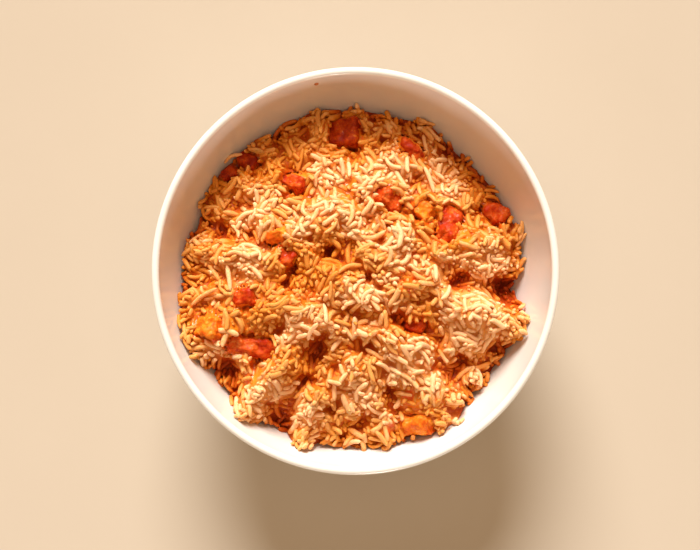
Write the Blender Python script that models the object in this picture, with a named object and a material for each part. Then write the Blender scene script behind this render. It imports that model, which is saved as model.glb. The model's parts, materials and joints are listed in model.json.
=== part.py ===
"""A round white bowl heaped with tomato rice and diced tomato.

Metres, +Z up. The origin is the middle of the foot ring, on the table.
-Y is the near side of the bowl, +X its right.

Sizes below are in millimetres and are turned into metres by MM, where a mesh is made.
"""

import math
from typing import NamedTuple

import bmesh
import bpy
import numpy as np
from mathutils import Matrix, Vector
from mathutils.geometry import delaunay_2d_cdt

MM = 0.001

# ---- the bowl -------------------------------------------------------------------------

RIM_RADIUS = 77.5
BOWL_HEIGHT = 66.0
WALL = 3.0
INNER_DEPTH = 59.5
OUTER_DEPTH = 61.0
WALL_LEAN = 0.22
INNER_CURVE = 33.0
OUTER_CURVE = 27.0
FOOT_OUTER = 36.6
FOOT_INNER = 33.2
FOOT_RECESS = 2.6
FOOT_EDGE = 0.6
TURN_STEPS = 56
WALL_STEPS = 9
LIP_STEPS = 4

# ---- the heap of rice -----------------------------------------------------------------

GAP = 0.4
CROWN_DEPTH = 2.0
CROWN_SHIFT = (0.0, -6.0)
DOME_POWER = 1.8
EDGE_DEPTH = 22.8
EDGE_TO_BACK = 4.5
EDGE_TO_RIGHT = 2.5
SHOULDER = 2.0
EDGE_STEPS = 120
EDGE_START = 65.0
EDGE_WALKS = 40
DEEPEST_EDGE = 36.0

CLUMP_SPACING = 9.5
CLUMP_ROWS = 0.87
CLUMP_JITTER = 3.0
CLUMP_RADIUS = (5.5, 8.0)
CLUMP_RISE = (1.0, 3.2)
CLUMP_SEED = 41
CLUMP_FALL = 1.4
SLOPE_SPAN = 3.0

# ---- the grains -----------------------------------------------------------------------

GRAIN_LENGTH = (7.4, 10.2)
GRAIN_WIDTH = (2.1, 2.5)
GRAIN_SIDES = 5
GRAIN_BLUNT = 0.62
SPINE_POINTS = 5
RIDGE_REACH = 0.7
RIDGE_RISE = 1.4
CREVICE = 0.7
BETWEEN_STEP = 5.2
EDGE_ROOM = 2.4
MOST_RIDGES = 330
RIDGE_ROOM = 0.35
RIDGE_TRIES = 9000
MOST_LOOSE = 76
LOOSE_ROOM = 2.2
LOOSE_TRIES = 2600
LOOSE_LIFT = 0.85
LOOSE_TILT = 16.0
GRAIN_SEED = 7
FLOW_SWING = 70.0
FLOW_X = 17.0
FLOW_Y = 14.0
FLOW_TURN = 55.0


class Mound(NamedTuple):
    """A place where the rice stands higher against the wall, by direction in degrees."""

    heading: float
    rise: float
    spread: float


class Clump(NamedTuple):
    """A raised clump, or with a negative rise a hollow, as an oval seen from above."""

    x: float
    y: float
    rise: float
    length: float
    width: float
    turn: float


class Dice(NamedTuple):
    """A piece of tomato: its middle, its sizes, its turn and how far it stands proud."""

    x: float
    y: float
    length: float
    width: float
    height: float
    turn: float
    proud: float


EDGE_MOUNDS = (
    Mound(-5, -3.0, 5),
    Mound(-18, 11.5, 6),
    Mound(-31, 2.5, 5),
    Mound(-47, -2.5, 4),
    Mound(-59, 9.5, 11),
    Mound(-81, 5.0, 4),
    Mound(-107, 8.5, 5),
    Mound(-115, -2.5, 3),
    Mound(-128, 10.5, 5),
    Mound(-144, -3.0, 4),
    Mound(-157, 10.0, 10),
    Mound(-171, 2.5, 4),
    Mound(173, 3.5, 5),
    Mound(163, -4.0, 4),
    Mound(120, -3.0, 5),
    Mound(104, 2.0, 5),
    Mound(64, 2.5, 5),
    Mound(48, -2.0, 6),
    Mound(13, 5.0, 7),
)

CLUMPS = (
    Clump(-27, 20, 4.2, 12, 8, 20),
    Clump(-44, 4, 3.2, 9, 8, -10),
    Clump(-8, 25, 3.0, 9, 6, 0),
    Clump(8, 31, 3.4, 9, 6, 25),
    Clump(36, 31, 4.0, 8, 7, 0),
    Clump(-3, 39, 2.6, 7, 6, 0),
    Clump(23, 42, 2.6, 9, 6, 10),
    Clump(17, 13, 3.4, 9, 6, -10),
    Clump(30, 0, 3.2, 8, 7, 0),
    Clump(47, 14, 2.6, 7, 6, 0),
    Clump(53, 3, 3.0, 8, 8, 0),
    Clump(1, -8, 3.6, 13, 4, -35),
    Clump(-19, -17, 4.2, 10, 6, -25),
    Clump(18, -30, 4.2, 13, 8, -25),
    Clump(48, -19, 5.0, 11, 9, 0),
    Clump(-42, -37, 3.4, 8, 6, -40),
    Clump(-27, -38, 3.0, 7, 6, 60),
    Clump(0, -39, 3.0, 9, 5, 0),
    Clump(-12, -53, 2.6, 10, 6, 0),
    Clump(28, -54, 2.6, 9, 6, 0),
    Clump(-58, 4, 2.2, 7, 5, 0),
    Clump(-23, -3, -5.0, 6, 5, 0),
    Clump(-8, 6, -3.6, 5, 4, 0),
    Clump(0, 0, -3.4, 4, 4, 0),
    Clump(-3, -17, -4.2, 6, 4, -10),
    Clump(22, -20, -4.2, 8, 3, -15),
    Clump(-1, -28, -4.0, 5, 3, 0),
    Clump(-15, -33, -6.4, 6, 8, 0),
    Clump(31, -28, -4.0, 3, 7, 20),
    Clump(40, -37, -4.0, 7, 4, 30),
    Clump(18, -48, -3.4, 6, 3, 0),
    Clump(26, 8, -4.0, 5, 5, 0),
    Clump(41, -4, -4.0, 5, 4, -30),
    Clump(-47, 26, -4.0, 5, 4, 0),
    Clump(-37, -37, -3.6, 2.5, 5, 0),
    Clump(-54, -35, -4.0, 6, 3, -40),
    Clump(24, 35, -3.0, 4, 3, 0),
    Clump(50, 21, -3.4, 4, 4, 0),
    Clump(60, -9, -5.0, 4, 5, 0),
    Clump(-31, -55, -4.0, 6, 3, -30),
)

TOMATOES = (
    Dice(-4.3, 54.6, 12.0, 11.5, 8.0, 4, 2.2),
    Dice(21.8, 48.6, 9.0, 6.0, 6.0, -42, 2.0),
    Dice(-43.6, 44.6, 8.5, 6.0, 6.0, -35, 1.8),
    Dice(-50.0, 38.4, 7.0, 5.0, 5.5, 30, 1.6),
    Dice(-24.6, 35.0, 10.0, 5.5, 6.0, -30, 1.4),
    Dice(36.8, 19.0, 8.0, 15.0, 7.0, -12, 1.6),
    Dice(57.6, 23.4, 9.0, 7.0, 6.0, -40, 1.6),
    Dice(-26.4, 4.8, 8.0, 6.0, 6.0, -25, 1.8),
    Dice(-43.6, -10.4, 9.0, 7.0, 6.5, 10, 1.0),
    Dice(-58.0, -20.6, 11.0, 9.0, 6.5, -15, 1.0),
    Dice(-40.4, -29.2, 17.0, 8.0, 7.0, -10, 2.0),
    Dice(23.4, -21.0, 9.0, 4.5, 5.5, -8, 0.8),
    Dice(-30.8, 13.2, 8.5, 5.5, 5.5, 10, 0.8),
    Dice(13.6, 28.0, 10.0, 7.0, 6.0, -30, 0.8),
    Dice(27.4, 23.8, 8.0, 7.0, 6.0, 50, 0.8),
    Dice(23.4, -60.4, 13.0, 8.0, 5.5, 12, 1.6),
)
TOMATO_BEVEL = 1.1
TOMATO_SKEW = 0.09
TOMATO_LEAN = 9.0
TOMATO_SEED = 23
WALL_ROOM = 0.8
WALL_STEP = 0.4

# ---- finishes -------------------------------------------------------------------------

GLAZE = ("Glazed_White", (0.86, 0.83, 0.78), 0.18)
RICE = ("Tomato_Rice", (0.76, 0.35, 0.11), 0.42)
TOMATO = ("Tomato_Flesh", (0.62, 0.07, 0.02), 0.28)
BOWL_SMOOTH = 40
RICE_SMOOTH = 30
TOMATO_SMOOTH = 25


def finish(name, colour, roughness):
    """A plain dielectric material."""
    material = bpy.data.materials.new(name)
    material.use_nodes = True
    shader = material.node_tree.nodes["Principled BSDF"]
    shader.inputs["Base Color"].default_value = (*colour, 1.0)
    shader.inputs["Roughness"].default_value = roughness
    shader.inputs["Metallic"].default_value = 0.0
    material.diffuse_color = (*colour, 1.0)
    return material


def clear_scene():
    """Takes every object out of the file."""
    for item in list(bpy.data.objects):
        bpy.data.objects.remove(item, do_unlink=True)


def add_object(name, work, material, smooth_angle):
    """An object from a bmesh held in millimetres, shaded smooth up to smooth_angle degrees."""
    bmesh.ops.scale(work, vec=(MM, MM, MM), verts=work.verts)
    mesh = bpy.data.meshes.new(name)
    work.to_mesh(mesh)
    work.free()
    mesh.shade_smooth()
    mesh.set_sharp_from_angle(angle=math.radians(smooth_angle))
    mesh.materials.append(material)
    item = bpy.data.objects.new(name, mesh)
    bpy.context.scene.collection.objects.link(item)
    return item


# ---- the bowl's form ------------------------------------------------------------------


def inner_radius(depth):
    """The radius of the bowl's inner wall, by the depth below the rim."""
    bend = np.sqrt(np.clip(1.0 - (depth / INNER_DEPTH) ** 2, 0.0, 1.0))
    return RIM_RADIUS - WALL - WALL_LEAN * (depth - WALL / 2) - INNER_CURVE * (1.0 - bend)


def outer_radius(depth):
    """The radius of the bowl's outer wall, by the depth below the rim."""
    bend = np.sqrt(np.clip(1.0 - (depth / OUTER_DEPTH) ** 2, 0.0, 1.0))
    return RIM_RADIUS - WALL_LEAN * (depth - WALL / 2) - OUTER_CURVE * (1.0 - bend)


def wall_depths(first, last):
    """Depths from first to last that crowd together where the wall turns into the base."""
    turns = np.linspace(math.asin(first / last), math.pi / 2, WALL_STEPS + 1)
    return last * np.sin(turns)


def bowl_profile():
    """The bowl's section as (radius, height) from the middle of the recess to the inner floor."""
    points = [(0.0, FOOT_RECESS), (FOOT_INNER - FOOT_EDGE, FOOT_RECESS), (FOOT_INNER, FOOT_EDGE)]
    points += [(FOOT_INNER + FOOT_EDGE, 0.0), (FOOT_OUTER - FOOT_EDGE, 0.0), (FOOT_OUTER, FOOT_EDGE)]
    lip = WALL / 2
    for depth in reversed(wall_depths(lip, OUTER_DEPTH)):
        points.append((float(outer_radius(depth)), BOWL_HEIGHT - depth))
    for step in range(1, LIP_STEPS):
        turn = math.pi * step / LIP_STEPS
        middle = RIM_RADIUS - lip
        points.append((middle + lip * math.cos(turn), BOWL_HEIGHT - lip + lip * math.sin(turn)))
    for depth in wall_depths(lip, INNER_DEPTH):
        points.append((float(inner_radius(depth)), BOWL_HEIGHT - depth))
    points.append((0.0, BOWL_HEIGHT - INNER_DEPTH))
    return points


def turned(profile, steps):
    """A closed bmesh turned about Z from a section that starts and ends on the axis."""
    work = bmesh.new()
    rings = []
    for radius, height in profile:
        if radius == 0.0:
            rings.append([work.verts.new((0.0, 0.0, height))])
            continue
        ring = []
        for step in range(steps):
            turn = math.tau * step / steps
            ring.append(work.verts.new((radius * math.cos(turn), radius * math.sin(turn), height)))
        rings.append(ring)
    for low, high in zip(rings, rings[1:]):
        for step in range(steps):
            after = (step + 1) % steps
            corners = [low[step % len(low)], low[after % len(low)]]
            corners += [high[after % len(high)], high[step % len(high)]]
            work.faces.new(list(dict.fromkeys(corners)))
    bmesh.ops.recalc_face_normals(work, faces=work.faces)
    return work


def build_bowl(material):
    """The bowl: foot ring, recess, outer wall, rounded lip and inner wall in one turned solid."""
    add_object("Bowl", turned(bowl_profile(), TURN_STEPS), material, BOWL_SMOOTH)


# ---- the heap's form ------------------------------------------------------------------


def edge_depth(heading):
    """How far below the rim the rice meets the wall, by direction in radians."""
    depth = EDGE_DEPTH + EDGE_TO_BACK * np.sin(heading) + EDGE_TO_RIGHT * np.cos(heading)
    for mound in EDGE_MOUNDS:
        away = (np.degrees(heading) - mound.heading + 180.0) % 360.0 - 180.0
        depth = depth - mound.rise * np.exp(-((away / mound.spread) ** 2))
    return depth


def small_clump_seeds():
    """Jittered places, radii and rises of the small clumps that cover the heap."""
    random = np.random.default_rng(CLUMP_SEED)
    seeds = []
    rows = int(RIM_RADIUS / CLUMP_SPACING) + 1
    for row in range(-rows, rows + 1):
        for column in range(-rows, rows + 1):
            x = (column + 0.5 * (row % 2)) * CLUMP_SPACING
            y = row * CLUMP_SPACING * CLUMP_ROWS
            x, y = (x, y) + random.uniform(-CLUMP_JITTER, CLUMP_JITTER, 2)
            seeds.append((x, y, random.uniform(*CLUMP_RADIUS), random.uniform(*CLUMP_RISE)))
    return seeds


SMALL_CLUMPS = small_clump_seeds()


def clump_relief(x, y):
    """The rise of the clumps over the plain dome: ovals laid on a field of small caps."""
    relief = np.zeros_like(x)
    for seed_x, seed_y, radius, rise in SMALL_CLUMPS:
        cap = rise * (1.0 - ((x - seed_x) ** 2 + (y - seed_y) ** 2) / radius**2)
        relief = np.maximum(relief, cap)
    for clump in CLUMPS:
        turn = math.radians(clump.turn)
        along = (x - clump.x) * math.cos(turn) + (y - clump.y) * math.sin(turn)
        across = (y - clump.y) * math.cos(turn) - (x - clump.x) * math.sin(turn)
        oval = (along / clump.length) ** 2 + (across / clump.width) ** 2
        relief = relief + clump.rise * np.exp(-(oval**CLUMP_FALL))
    return relief


def heap_height(x, y):
    """The height of the bare heap above the table, at a place seen from above."""
    x = np.asarray(x, float)
    y = np.asarray(y, float)
    edge = edge_depth(np.arctan2(y, x))
    reach = inner_radius(edge)
    inside = np.clip(1.0 - (np.hypot(x, y) / reach) ** 2, 0.0, 1.0)
    out = np.hypot(x - CROWN_SHIFT[0] * inside, y - CROWN_SHIFT[1] * inside) / reach
    depth = CROWN_DEPTH + (edge - CROWN_DEPTH) * out**DOME_POWER
    return BOWL_HEIGHT - depth + clump_relief(x, y) - sum(CLUMP_RISE) / 2


def edge_ring():
    """Points where the heap meets the wall, found by walking each direction out to it."""
    ring = []
    for step in range(EDGE_STEPS):
        heading = math.tau * step / EDGE_STEPS
        radius = EDGE_START
        for _ in range(EDGE_WALKS):
            height = float(heap_height(radius * math.cos(heading), radius * math.sin(heading)))
            target = float(inner_radius(BOWL_HEIGHT - height + SHOULDER)) - GAP
            radius += 0.5 * (target - radius)
        ring.append((radius * math.cos(heading), radius * math.sin(heading), height - SHOULDER))
    return ring


def lining(depth):
    """A point a gap inside the bowl's wall, as (radius, height), by the depth below the rim."""
    step = 0.01
    lean = float(inner_radius(depth) - inner_radius(depth - step)) / step
    size = math.hypot(1.0, lean)
    return float(inner_radius(depth)) - GAP / size, BOWL_HEIGHT - depth - GAP * lean / size


def underside_rings():
    """Points on the hidden underside, level with the rows of the bowl's wall, and its middle."""
    points = []
    steps = TURN_STEPS
    for depth in wall_depths(WALL / 2, INNER_DEPTH):
        if depth < DEEPEST_EDGE:
            continue
        radius, height = lining(depth)
        height = max(height, BOWL_HEIGHT - INNER_DEPTH + GAP)
        for step in range(steps):
            turn = math.tau * step / steps
            points.append((radius * math.cos(turn), radius * math.sin(turn), height))
        steps = TURN_STEPS // 2
    points.append((0.0, 0.0, BOWL_HEIGHT - INNER_DEPTH + GAP))
    return points


# ---- the tomato -----------------------------------------------------------------------


def inside_bowl(work):
    """Whether a piece is clear of the bowl's wall."""
    for vert in work.verts:
        depth = min(max(BOWL_HEIGHT - vert.co.z, 0.0), INNER_DEPTH)
        if math.hypot(vert.co.x, vert.co.y) > float(inner_radius(depth)) - WALL_ROOM:
            return False
    return True


def slope_frame(x, y):
    """A rotation whose Z axis stands square on the bare heap at a place."""
    span = SLOPE_SPAN
    rise_x = float(heap_height(x + span, y) - heap_height(x - span, y)) / (2 * span)
    rise_y = float(heap_height(x, y + span) - heap_height(x, y - span)) / (2 * span)
    normal = Vector((-rise_x, -rise_y, 1.0)).normalized()
    return Vector((0.0, 0.0, 1.0)).rotation_difference(normal).to_matrix().to_4x4()


def dice_matrix(dice, random):
    """Where a dice of tomato lies: sunk into the heap, square on its slope, a little askew."""
    lean = [math.radians(a) for a in random.uniform(-TOMATO_LEAN, TOMATO_LEAN, 2)]
    sunk = dice.height / 2 - dice.proud
    place = Matrix.Translation((dice.x, dice.y, float(heap_height(dice.x, dice.y))))
    turn = Matrix.Rotation(math.radians(dice.turn), 4, "Z")
    askew = Matrix.Rotation(lean[0], 4, "X") @ Matrix.Rotation(lean[1], 4, "Y")
    return place @ slope_frame(dice.x, dice.y) @ turn @ askew @ Matrix.Translation((0.0, 0.0, -sunk))


def dice_form(dice, random):
    """An uneven block with blunt edges, convex, in place."""
    work = bmesh.new()
    bmesh.ops.create_cube(work, size=1.0)
    bmesh.ops.scale(work, vec=(dice.length, dice.width, dice.height), verts=work.verts)
    for corner in work.verts:
        shift = random.uniform(-TOMATO_SKEW, TOMATO_SKEW, 3)
        corner.co += Vector(shift * (dice.length, dice.width, dice.height))
    edges = list(work.edges)
    bmesh.ops.bevel(work, geom=edges, offset=TOMATO_BEVEL, segments=1, affect="EDGES", profile=0.5)
    bmesh.ops.transform(work, matrix=dice_matrix(dice, random), verts=work.verts)
    inward = Vector((-dice.x, -dice.y, 0.0)).normalized() * WALL_STEP
    while not inside_bowl(work):
        bmesh.ops.translate(work, vec=inward, verts=work.verts)
    return convex(work)


def convex(work):
    """The convex hull of a bmesh, as a new bmesh."""
    hull = bmesh.new()
    for vert in work.verts:
        hull.verts.new(vert.co)
    work.free()
    made = bmesh.ops.convex_hull(hull, input=list(hull.verts))
    spare = set(made["geom_interior"]) | set(made["geom_unused"])
    inner = [item for item in spare if isinstance(item, bmesh.types.BMVert)]
    bmesh.ops.delete(hull, geom=inner, context="VERTS")
    bmesh.ops.recalc_face_normals(hull, faces=hull.faces)
    return hull


def swollen(work, margin):
    """A convex bmesh grown by margin on every face."""
    grown = work.copy()
    grown.normal_update()
    outward = [vert.normal.copy() for vert in grown.verts]
    for vert, normal in zip(grown.verts, outward):
        lift = min(max(normal.dot(face.normal), 0.5) for face in vert.link_faces)
        vert.co += normal * (margin / lift)
    return convex(grown)


# ---- the grains -----------------------------------------------------------------------


class Grain(NamedTuple):
    """A grain that lies on the heap: its middle, its heading in radians and its size."""

    x: float
    y: float
    heading: float
    length: float
    width: float


def spine(grain):
    """Points along the grain's middle line, seen from above."""
    steps = np.linspace(-0.5, 0.5, SPINE_POINTS)[:, None] * (grain.length - grain.width)
    return np.array([grain.x, grain.y]) + steps * [math.cos(grain.heading), math.sin(grain.heading)]


def flow(x, y):
    """The heading that neighbouring grains share, in degrees, drifting over the heap."""
    return FLOW_SWING * (math.sin(x / FLOW_X) + math.cos((y - x / 2) / FLOW_Y))


def draw_grain(random):
    """A grain at a place and heading drawn evenly over the heap."""
    reach = (RIM_RADIUS - WALL) * math.sqrt(random.uniform())
    around = random.uniform(0.0, math.tau)
    x = reach * math.cos(around)
    y = reach * math.sin(around)
    heading = math.radians(flow(x, y) + random.normal(0.0, FLOW_TURN))
    return Grain(x, y, heading, random.uniform(*GRAIN_LENGTH), random.uniform(*GRAIN_WIDTH))


def clear_of(points, others, room):
    """Whether every point is at least room from every other point, seen from above."""
    if len(others) == 0:
        return True
    apart = points[:, None, :] - others[None, :, :]
    return bool((np.einsum("ijk,ijk->ij", apart, apart) > room**2).all())


def inside_edge(points, ring, room):
    """Whether the points lie inside the heap's edge by at least room."""
    reach = np.hypot(ring[:, 0], ring[:, 1])
    turn = np.arctan2(points[:, 1], points[:, 0]) % math.tau
    here = np.interp(turn / math.tau * EDGE_STEPS, range(EDGE_STEPS + 1), np.append(reach, reach[0]))
    return bool((np.hypot(points[:, 0], points[:, 1]) < here - room).all())


def lay_grains(random, most, tries, room, ring, keep_off):
    """Grains drawn one by one, each kept where it lies clear of the tomato and the others."""
    laid = []
    taken = np.empty((0, 2))
    for _ in range(tries):
        if len(laid) == most:
            break
        grain = draw_grain(random)
        line = spine(grain)
        if not inside_edge(line, ring, EDGE_ROOM) or not clear_of(line, keep_off, GRAIN_WIDTH[1]):
            continue
        if clear_of(line, taken, grain.width + room):
            laid.append(grain)
            taken = np.concatenate([taken, line])
    return laid


def footprint(work):
    """Points over a dice seen from above: its corners, and rings of points inside them."""
    corners = np.array([vert.co[:2] for vert in work.verts])
    middle = corners.mean(axis=0)
    return np.concatenate([middle + (corners - middle) * scale for scale in (1.0, 0.66, 0.33)])


def ridge_points(grain):
    """The outline and the two ridge ends of a grain in relief, as (x, y, rise)."""
    ahead = np.array([math.cos(grain.heading), math.sin(grain.heading)])
    aside = np.array([-ahead[1], ahead[0]])
    half = grain.length / 2
    side = grain.width / 2
    blunt = side * GRAIN_BLUNT
    outline = [(half, blunt), (0.0, side), (-half, blunt), (-half, -blunt), (0.0, -side), (half, -blunt)]
    middle = np.array([grain.x, grain.y])
    points = [(*(middle + ahead * along + aside * across), -CREVICE) for along, across in outline]
    for along in (half * RIDGE_REACH, -half * RIDGE_REACH):
        points.append((*(middle + ahead * along), RIDGE_RISE))
    return points


def ring_edges():
    """The edges that close the heap's edge ring, by the numbers of its points."""
    return [(step, (step + 1) % EDGE_STEPS) for step in range(EDGE_STEPS)]


def relief_surface(ring, ridges):
    """The heap's upper surface, triangulated: the edge ring, the ridges and points between them."""
    points = [tuple(point) for point in ring]
    edges = ring_edges()
    for grain in ridges:
        first = len(points)
        placed = ridge_points(grain)
        points += [(x, y, float(heap_height(x, y)) + rise) for x, y, rise in placed]
        outline = len(placed) - 2
        edges += [(first + side, first + (side + 1) % outline) for side in range(outline)]
        edges.append((first + outline, first + outline + 1))
    lines = np.concatenate([spine(grain) for grain in ridges])
    flat_ring = np.array(ring)[:, :2]
    for x, y in between_points():
        spot = np.array([[x, y]])
        if inside_edge(spot, flat_ring, EDGE_ROOM) and clear_of(spot, lines, GRAIN_WIDTH[0]):
            points.append((x, y, float(heap_height(x, y)) - CREVICE))
    return triangulate(points, edges)


def between_points():
    """A loose grid of places between the grains."""
    last = int(RIM_RADIUS / BETWEEN_STEP)
    places = []
    for row in range(-last, last + 1):
        for column in range(-last, last + 1):
            places.append(((column + 0.5 * (row % 2)) * BETWEEN_STEP, row * BETWEEN_STEP))
    return places


def triangulate(points, edges):
    """Triangles over a closed outline, seen from above, that keep its edges.

    Gives the points in their new order, the triangles, and each old point's new number.
    """
    flat = [Vector(point[:2]) for point in points]
    made = delaunay_2d_cdt(flat, edges, [], 1, 1e-6)
    placed = []
    for place, sources in zip(made[0], made[3]):
        height = points[sources[0]][2] if sources else float(heap_height(place.x, place.y)) - CREVICE
        placed.append((place.x, place.y, height))
    order = {source: index for index, sources in enumerate(made[3]) for source in sources}
    return placed, made[2], order


def rice_core(ridges, ring):
    """The heap as one closed bmesh: the relief above, the bowl's own curve below."""
    work = bmesh.new()
    top_points, top_faces, top_order = relief_surface(ring, ridges)
    top = [work.verts.new(point) for point in top_points]
    for face in top_faces:
        work.faces.new([top[index] for index in upward(face, top_points)])
    low_made, low_faces, low_order = triangulate([*ring, *underside_rings()], ring_edges())
    low = {}
    for source, index in low_order.items():
        if source < EDGE_STEPS:
            low[index] = top[top_order[source]]
        else:
            low[index] = work.verts.new(low_made[index])
    for face in low_faces:
        work.faces.new([low[index] for index in reversed(upward(face, low_made))])
    return work


def upward(face, points):
    """A triangle's corners in the order that faces up."""
    a, b, c = (points[index] for index in face)
    turn = (b[0] - a[0]) * (c[1] - a[1]) - (b[1] - a[1]) * (c[0] - a[0])
    return list(face) if turn > 0 else list(reversed(face))


def grain_form(grain):
    """A whole grain along X as a barrel with blunt ends."""
    work = bmesh.new()
    half = grain.length / 2
    rings = []
    for along, swell in ((-half, GRAIN_BLUNT), (0.0, 1.0), (half, GRAIN_BLUNT)):
        ring = []
        for side in range(GRAIN_SIDES):
            turn = math.tau * side / GRAIN_SIDES
            across = grain.width / 2 * swell
            ring.append(work.verts.new((along, across * math.cos(turn), across * math.sin(turn))))
        rings.append(ring)
    for first, second in zip(rings, rings[1:]):
        for side in range(GRAIN_SIDES):
            after = (side + 1) % GRAIN_SIDES
            work.faces.new((first[side], first[after], second[after], second[side]))
    work.faces.new(rings[0])
    work.faces.new(rings[-1])
    bmesh.ops.recalc_face_normals(work, faces=work.faces)
    return work


def loose_grain(grain, random):
    """A whole grain in place on the heap, tilted and rolled at random."""
    work = grain_form(grain)
    tilt = Matrix.Rotation(math.radians(random.uniform(-LOOSE_TILT, LOOSE_TILT)), 4, "Y")
    roll = Matrix.Rotation(random.uniform(0.0, math.tau), 4, "X")
    spin = Matrix.Rotation(grain.heading, 4, "Z")
    height = float(heap_height(grain.x, grain.y)) + LOOSE_LIFT
    place = Matrix.Translation((grain.x, grain.y, height)) @ slope_frame(grain.x, grain.y)
    bmesh.ops.transform(work, matrix=place @ spin @ tilt @ roll, verts=work.verts)
    return work


# ---- joining --------------------------------------------------------------------------


def helper_object(work, name, group):
    """A wire object for a Boolean, from a bmesh held in millimetres."""
    bmesh.ops.scale(work, vec=(MM, MM, MM), verts=work.verts)
    mesh = bpy.data.meshes.new(name)
    work.to_mesh(mesh)
    work.free()
    helper = bpy.data.objects.new(name, mesh)
    helper.hide_render = True
    helper.display_type = "WIRE"
    group.objects.link(helper)
    return helper


def join_all(target, operation, forms):
    """Joins forms to the target, or cuts them from it, in one Boolean on a collection."""
    group = bpy.data.collections.new("Joined")
    bpy.context.scene.collection.children.link(group)
    helpers = [helper_object(work, f"Helper_{index:03d}", group) for index, work in enumerate(forms)]
    modifier = target.modifiers.new("Join", "BOOLEAN")
    modifier.operation = operation
    modifier.operand_type = "COLLECTION"
    modifier.collection = group
    modifier.solver = "EXACT"
    modifier.use_self = operation == "UNION"
    graph = bpy.context.evaluated_depsgraph_get()
    joined = bpy.data.meshes.new_from_object(target.evaluated_get(graph))
    target.modifiers.remove(modifier)
    target.data = joined
    for helper in helpers:
        bpy.data.objects.remove(helper, do_unlink=True)
    bpy.data.collections.remove(group)


def shell_of(start, left):
    """All points joined to a start point by edges, taken out of the set of points left."""
    shell = {start}
    front = [start]
    while front:
        for edge in front.pop().link_edges:
            for vert in edge.verts:
                if vert in left:
                    left.discard(vert)
                    shell.add(vert)
                    front.append(vert)
    return shell


def keep_largest_body(target):
    """Drops loose scraps and fills sealed hollows: only the largest closed shell stays."""
    work = bmesh.new()
    work.from_mesh(target.data)
    bmesh.ops.triangulate(work, faces=work.faces)
    left = set(work.verts)
    shells = []
    while left:
        shells.append(shell_of(left.pop(), left))
    largest = max(shells, key=len)
    spare = [vert for shell in shells if shell is not largest for vert in shell]
    bmesh.ops.delete(work, geom=spare, context="VERTS")
    work.to_mesh(target.data)
    work.free()


def build_rice(material, dice_forms):
    """The heap out to its uneven outline, with grains in relief and whole grains fused on."""
    random = np.random.default_rng(GRAIN_SEED)
    ring = edge_ring()
    flat_ring = np.array(ring)[:, :2]
    keep_off = np.concatenate([footprint(work) for work in dice_forms])
    ridges = lay_grains(random, MOST_RIDGES, RIDGE_TRIES, RIDGE_ROOM, flat_ring, keep_off)
    loose = lay_grains(random, MOST_LOOSE, LOOSE_TRIES, LOOSE_ROOM, flat_ring, keep_off)
    rice = add_object("Rice", rice_core(ridges, ring), material, RICE_SMOOTH)
    grains = [loose_grain(grain, random) for grain in loose]
    join_all(rice, "UNION", [work for work in grains if inside_bowl(work)])
    join_all(rice, "DIFFERENCE", [swollen(work, GAP) for work in dice_forms])
    keep_largest_body(rice)


def main():
    """Builds the bowl, the tomato and the rice round it."""
    clear_scene()
    build_bowl(finish(*GLAZE))
    flesh = finish(*TOMATO)
    random = np.random.default_rng(TOMATO_SEED)
    forms = [dice_form(dice, random) for dice in TOMATOES]
    build_rice(finish(*RICE), forms)
    for number, work in enumerate(forms, start=1):
        add_object(f"Tomato_{number:02d}", work, flesh, TOMATO_SMOOTH)


main()
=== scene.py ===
"""A round white bowl heaped with tomato rice and diced tomato, seen from straight above.

Metres, +Z up, in the frame of the solids: the origin is the middle of the foot ring, -Y is
the near side and +X the right. The forms are worked out in millimetres and turned into
metres by MM where a mesh is made.
"""

import json
import logging
import math
from dataclasses import dataclass, field
from enum import Enum
from typing import Iterable, Iterator, NamedTuple, Sequence, Union

import bmesh
import bpy
import numpy as np
from mathutils import Matrix, Vector, noise

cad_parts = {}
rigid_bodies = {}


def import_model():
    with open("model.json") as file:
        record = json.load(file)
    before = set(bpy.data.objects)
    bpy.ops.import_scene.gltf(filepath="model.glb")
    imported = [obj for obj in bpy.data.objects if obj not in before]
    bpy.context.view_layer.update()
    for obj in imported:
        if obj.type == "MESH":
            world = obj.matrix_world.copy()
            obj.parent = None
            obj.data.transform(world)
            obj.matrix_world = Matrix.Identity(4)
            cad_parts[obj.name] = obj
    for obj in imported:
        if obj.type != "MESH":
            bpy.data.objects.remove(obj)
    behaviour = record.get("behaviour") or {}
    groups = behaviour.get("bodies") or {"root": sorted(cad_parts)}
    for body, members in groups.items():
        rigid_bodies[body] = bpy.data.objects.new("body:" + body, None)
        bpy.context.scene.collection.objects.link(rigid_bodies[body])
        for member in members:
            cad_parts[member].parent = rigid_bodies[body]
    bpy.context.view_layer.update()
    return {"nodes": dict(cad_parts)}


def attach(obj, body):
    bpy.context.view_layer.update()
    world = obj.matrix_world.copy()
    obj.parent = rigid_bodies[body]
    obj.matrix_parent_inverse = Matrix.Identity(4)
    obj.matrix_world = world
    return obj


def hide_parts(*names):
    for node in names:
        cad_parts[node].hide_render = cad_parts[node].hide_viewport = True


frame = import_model()

MM = 0.001
ROOT = "root"
NOWHERE = -1e3
LOG = logging.getLogger("rice_bowl")

Number = Union[float, np.ndarray]
Span = tuple[float, float]
Colour = tuple[float, float, float]
Place = tuple[float, float, float]
Settings = Union[dict[str, object], None]
Inputs = Union[dict[Union[int, str], object], None]


# ---- node expressions -----------------------------------------------------------------


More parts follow.
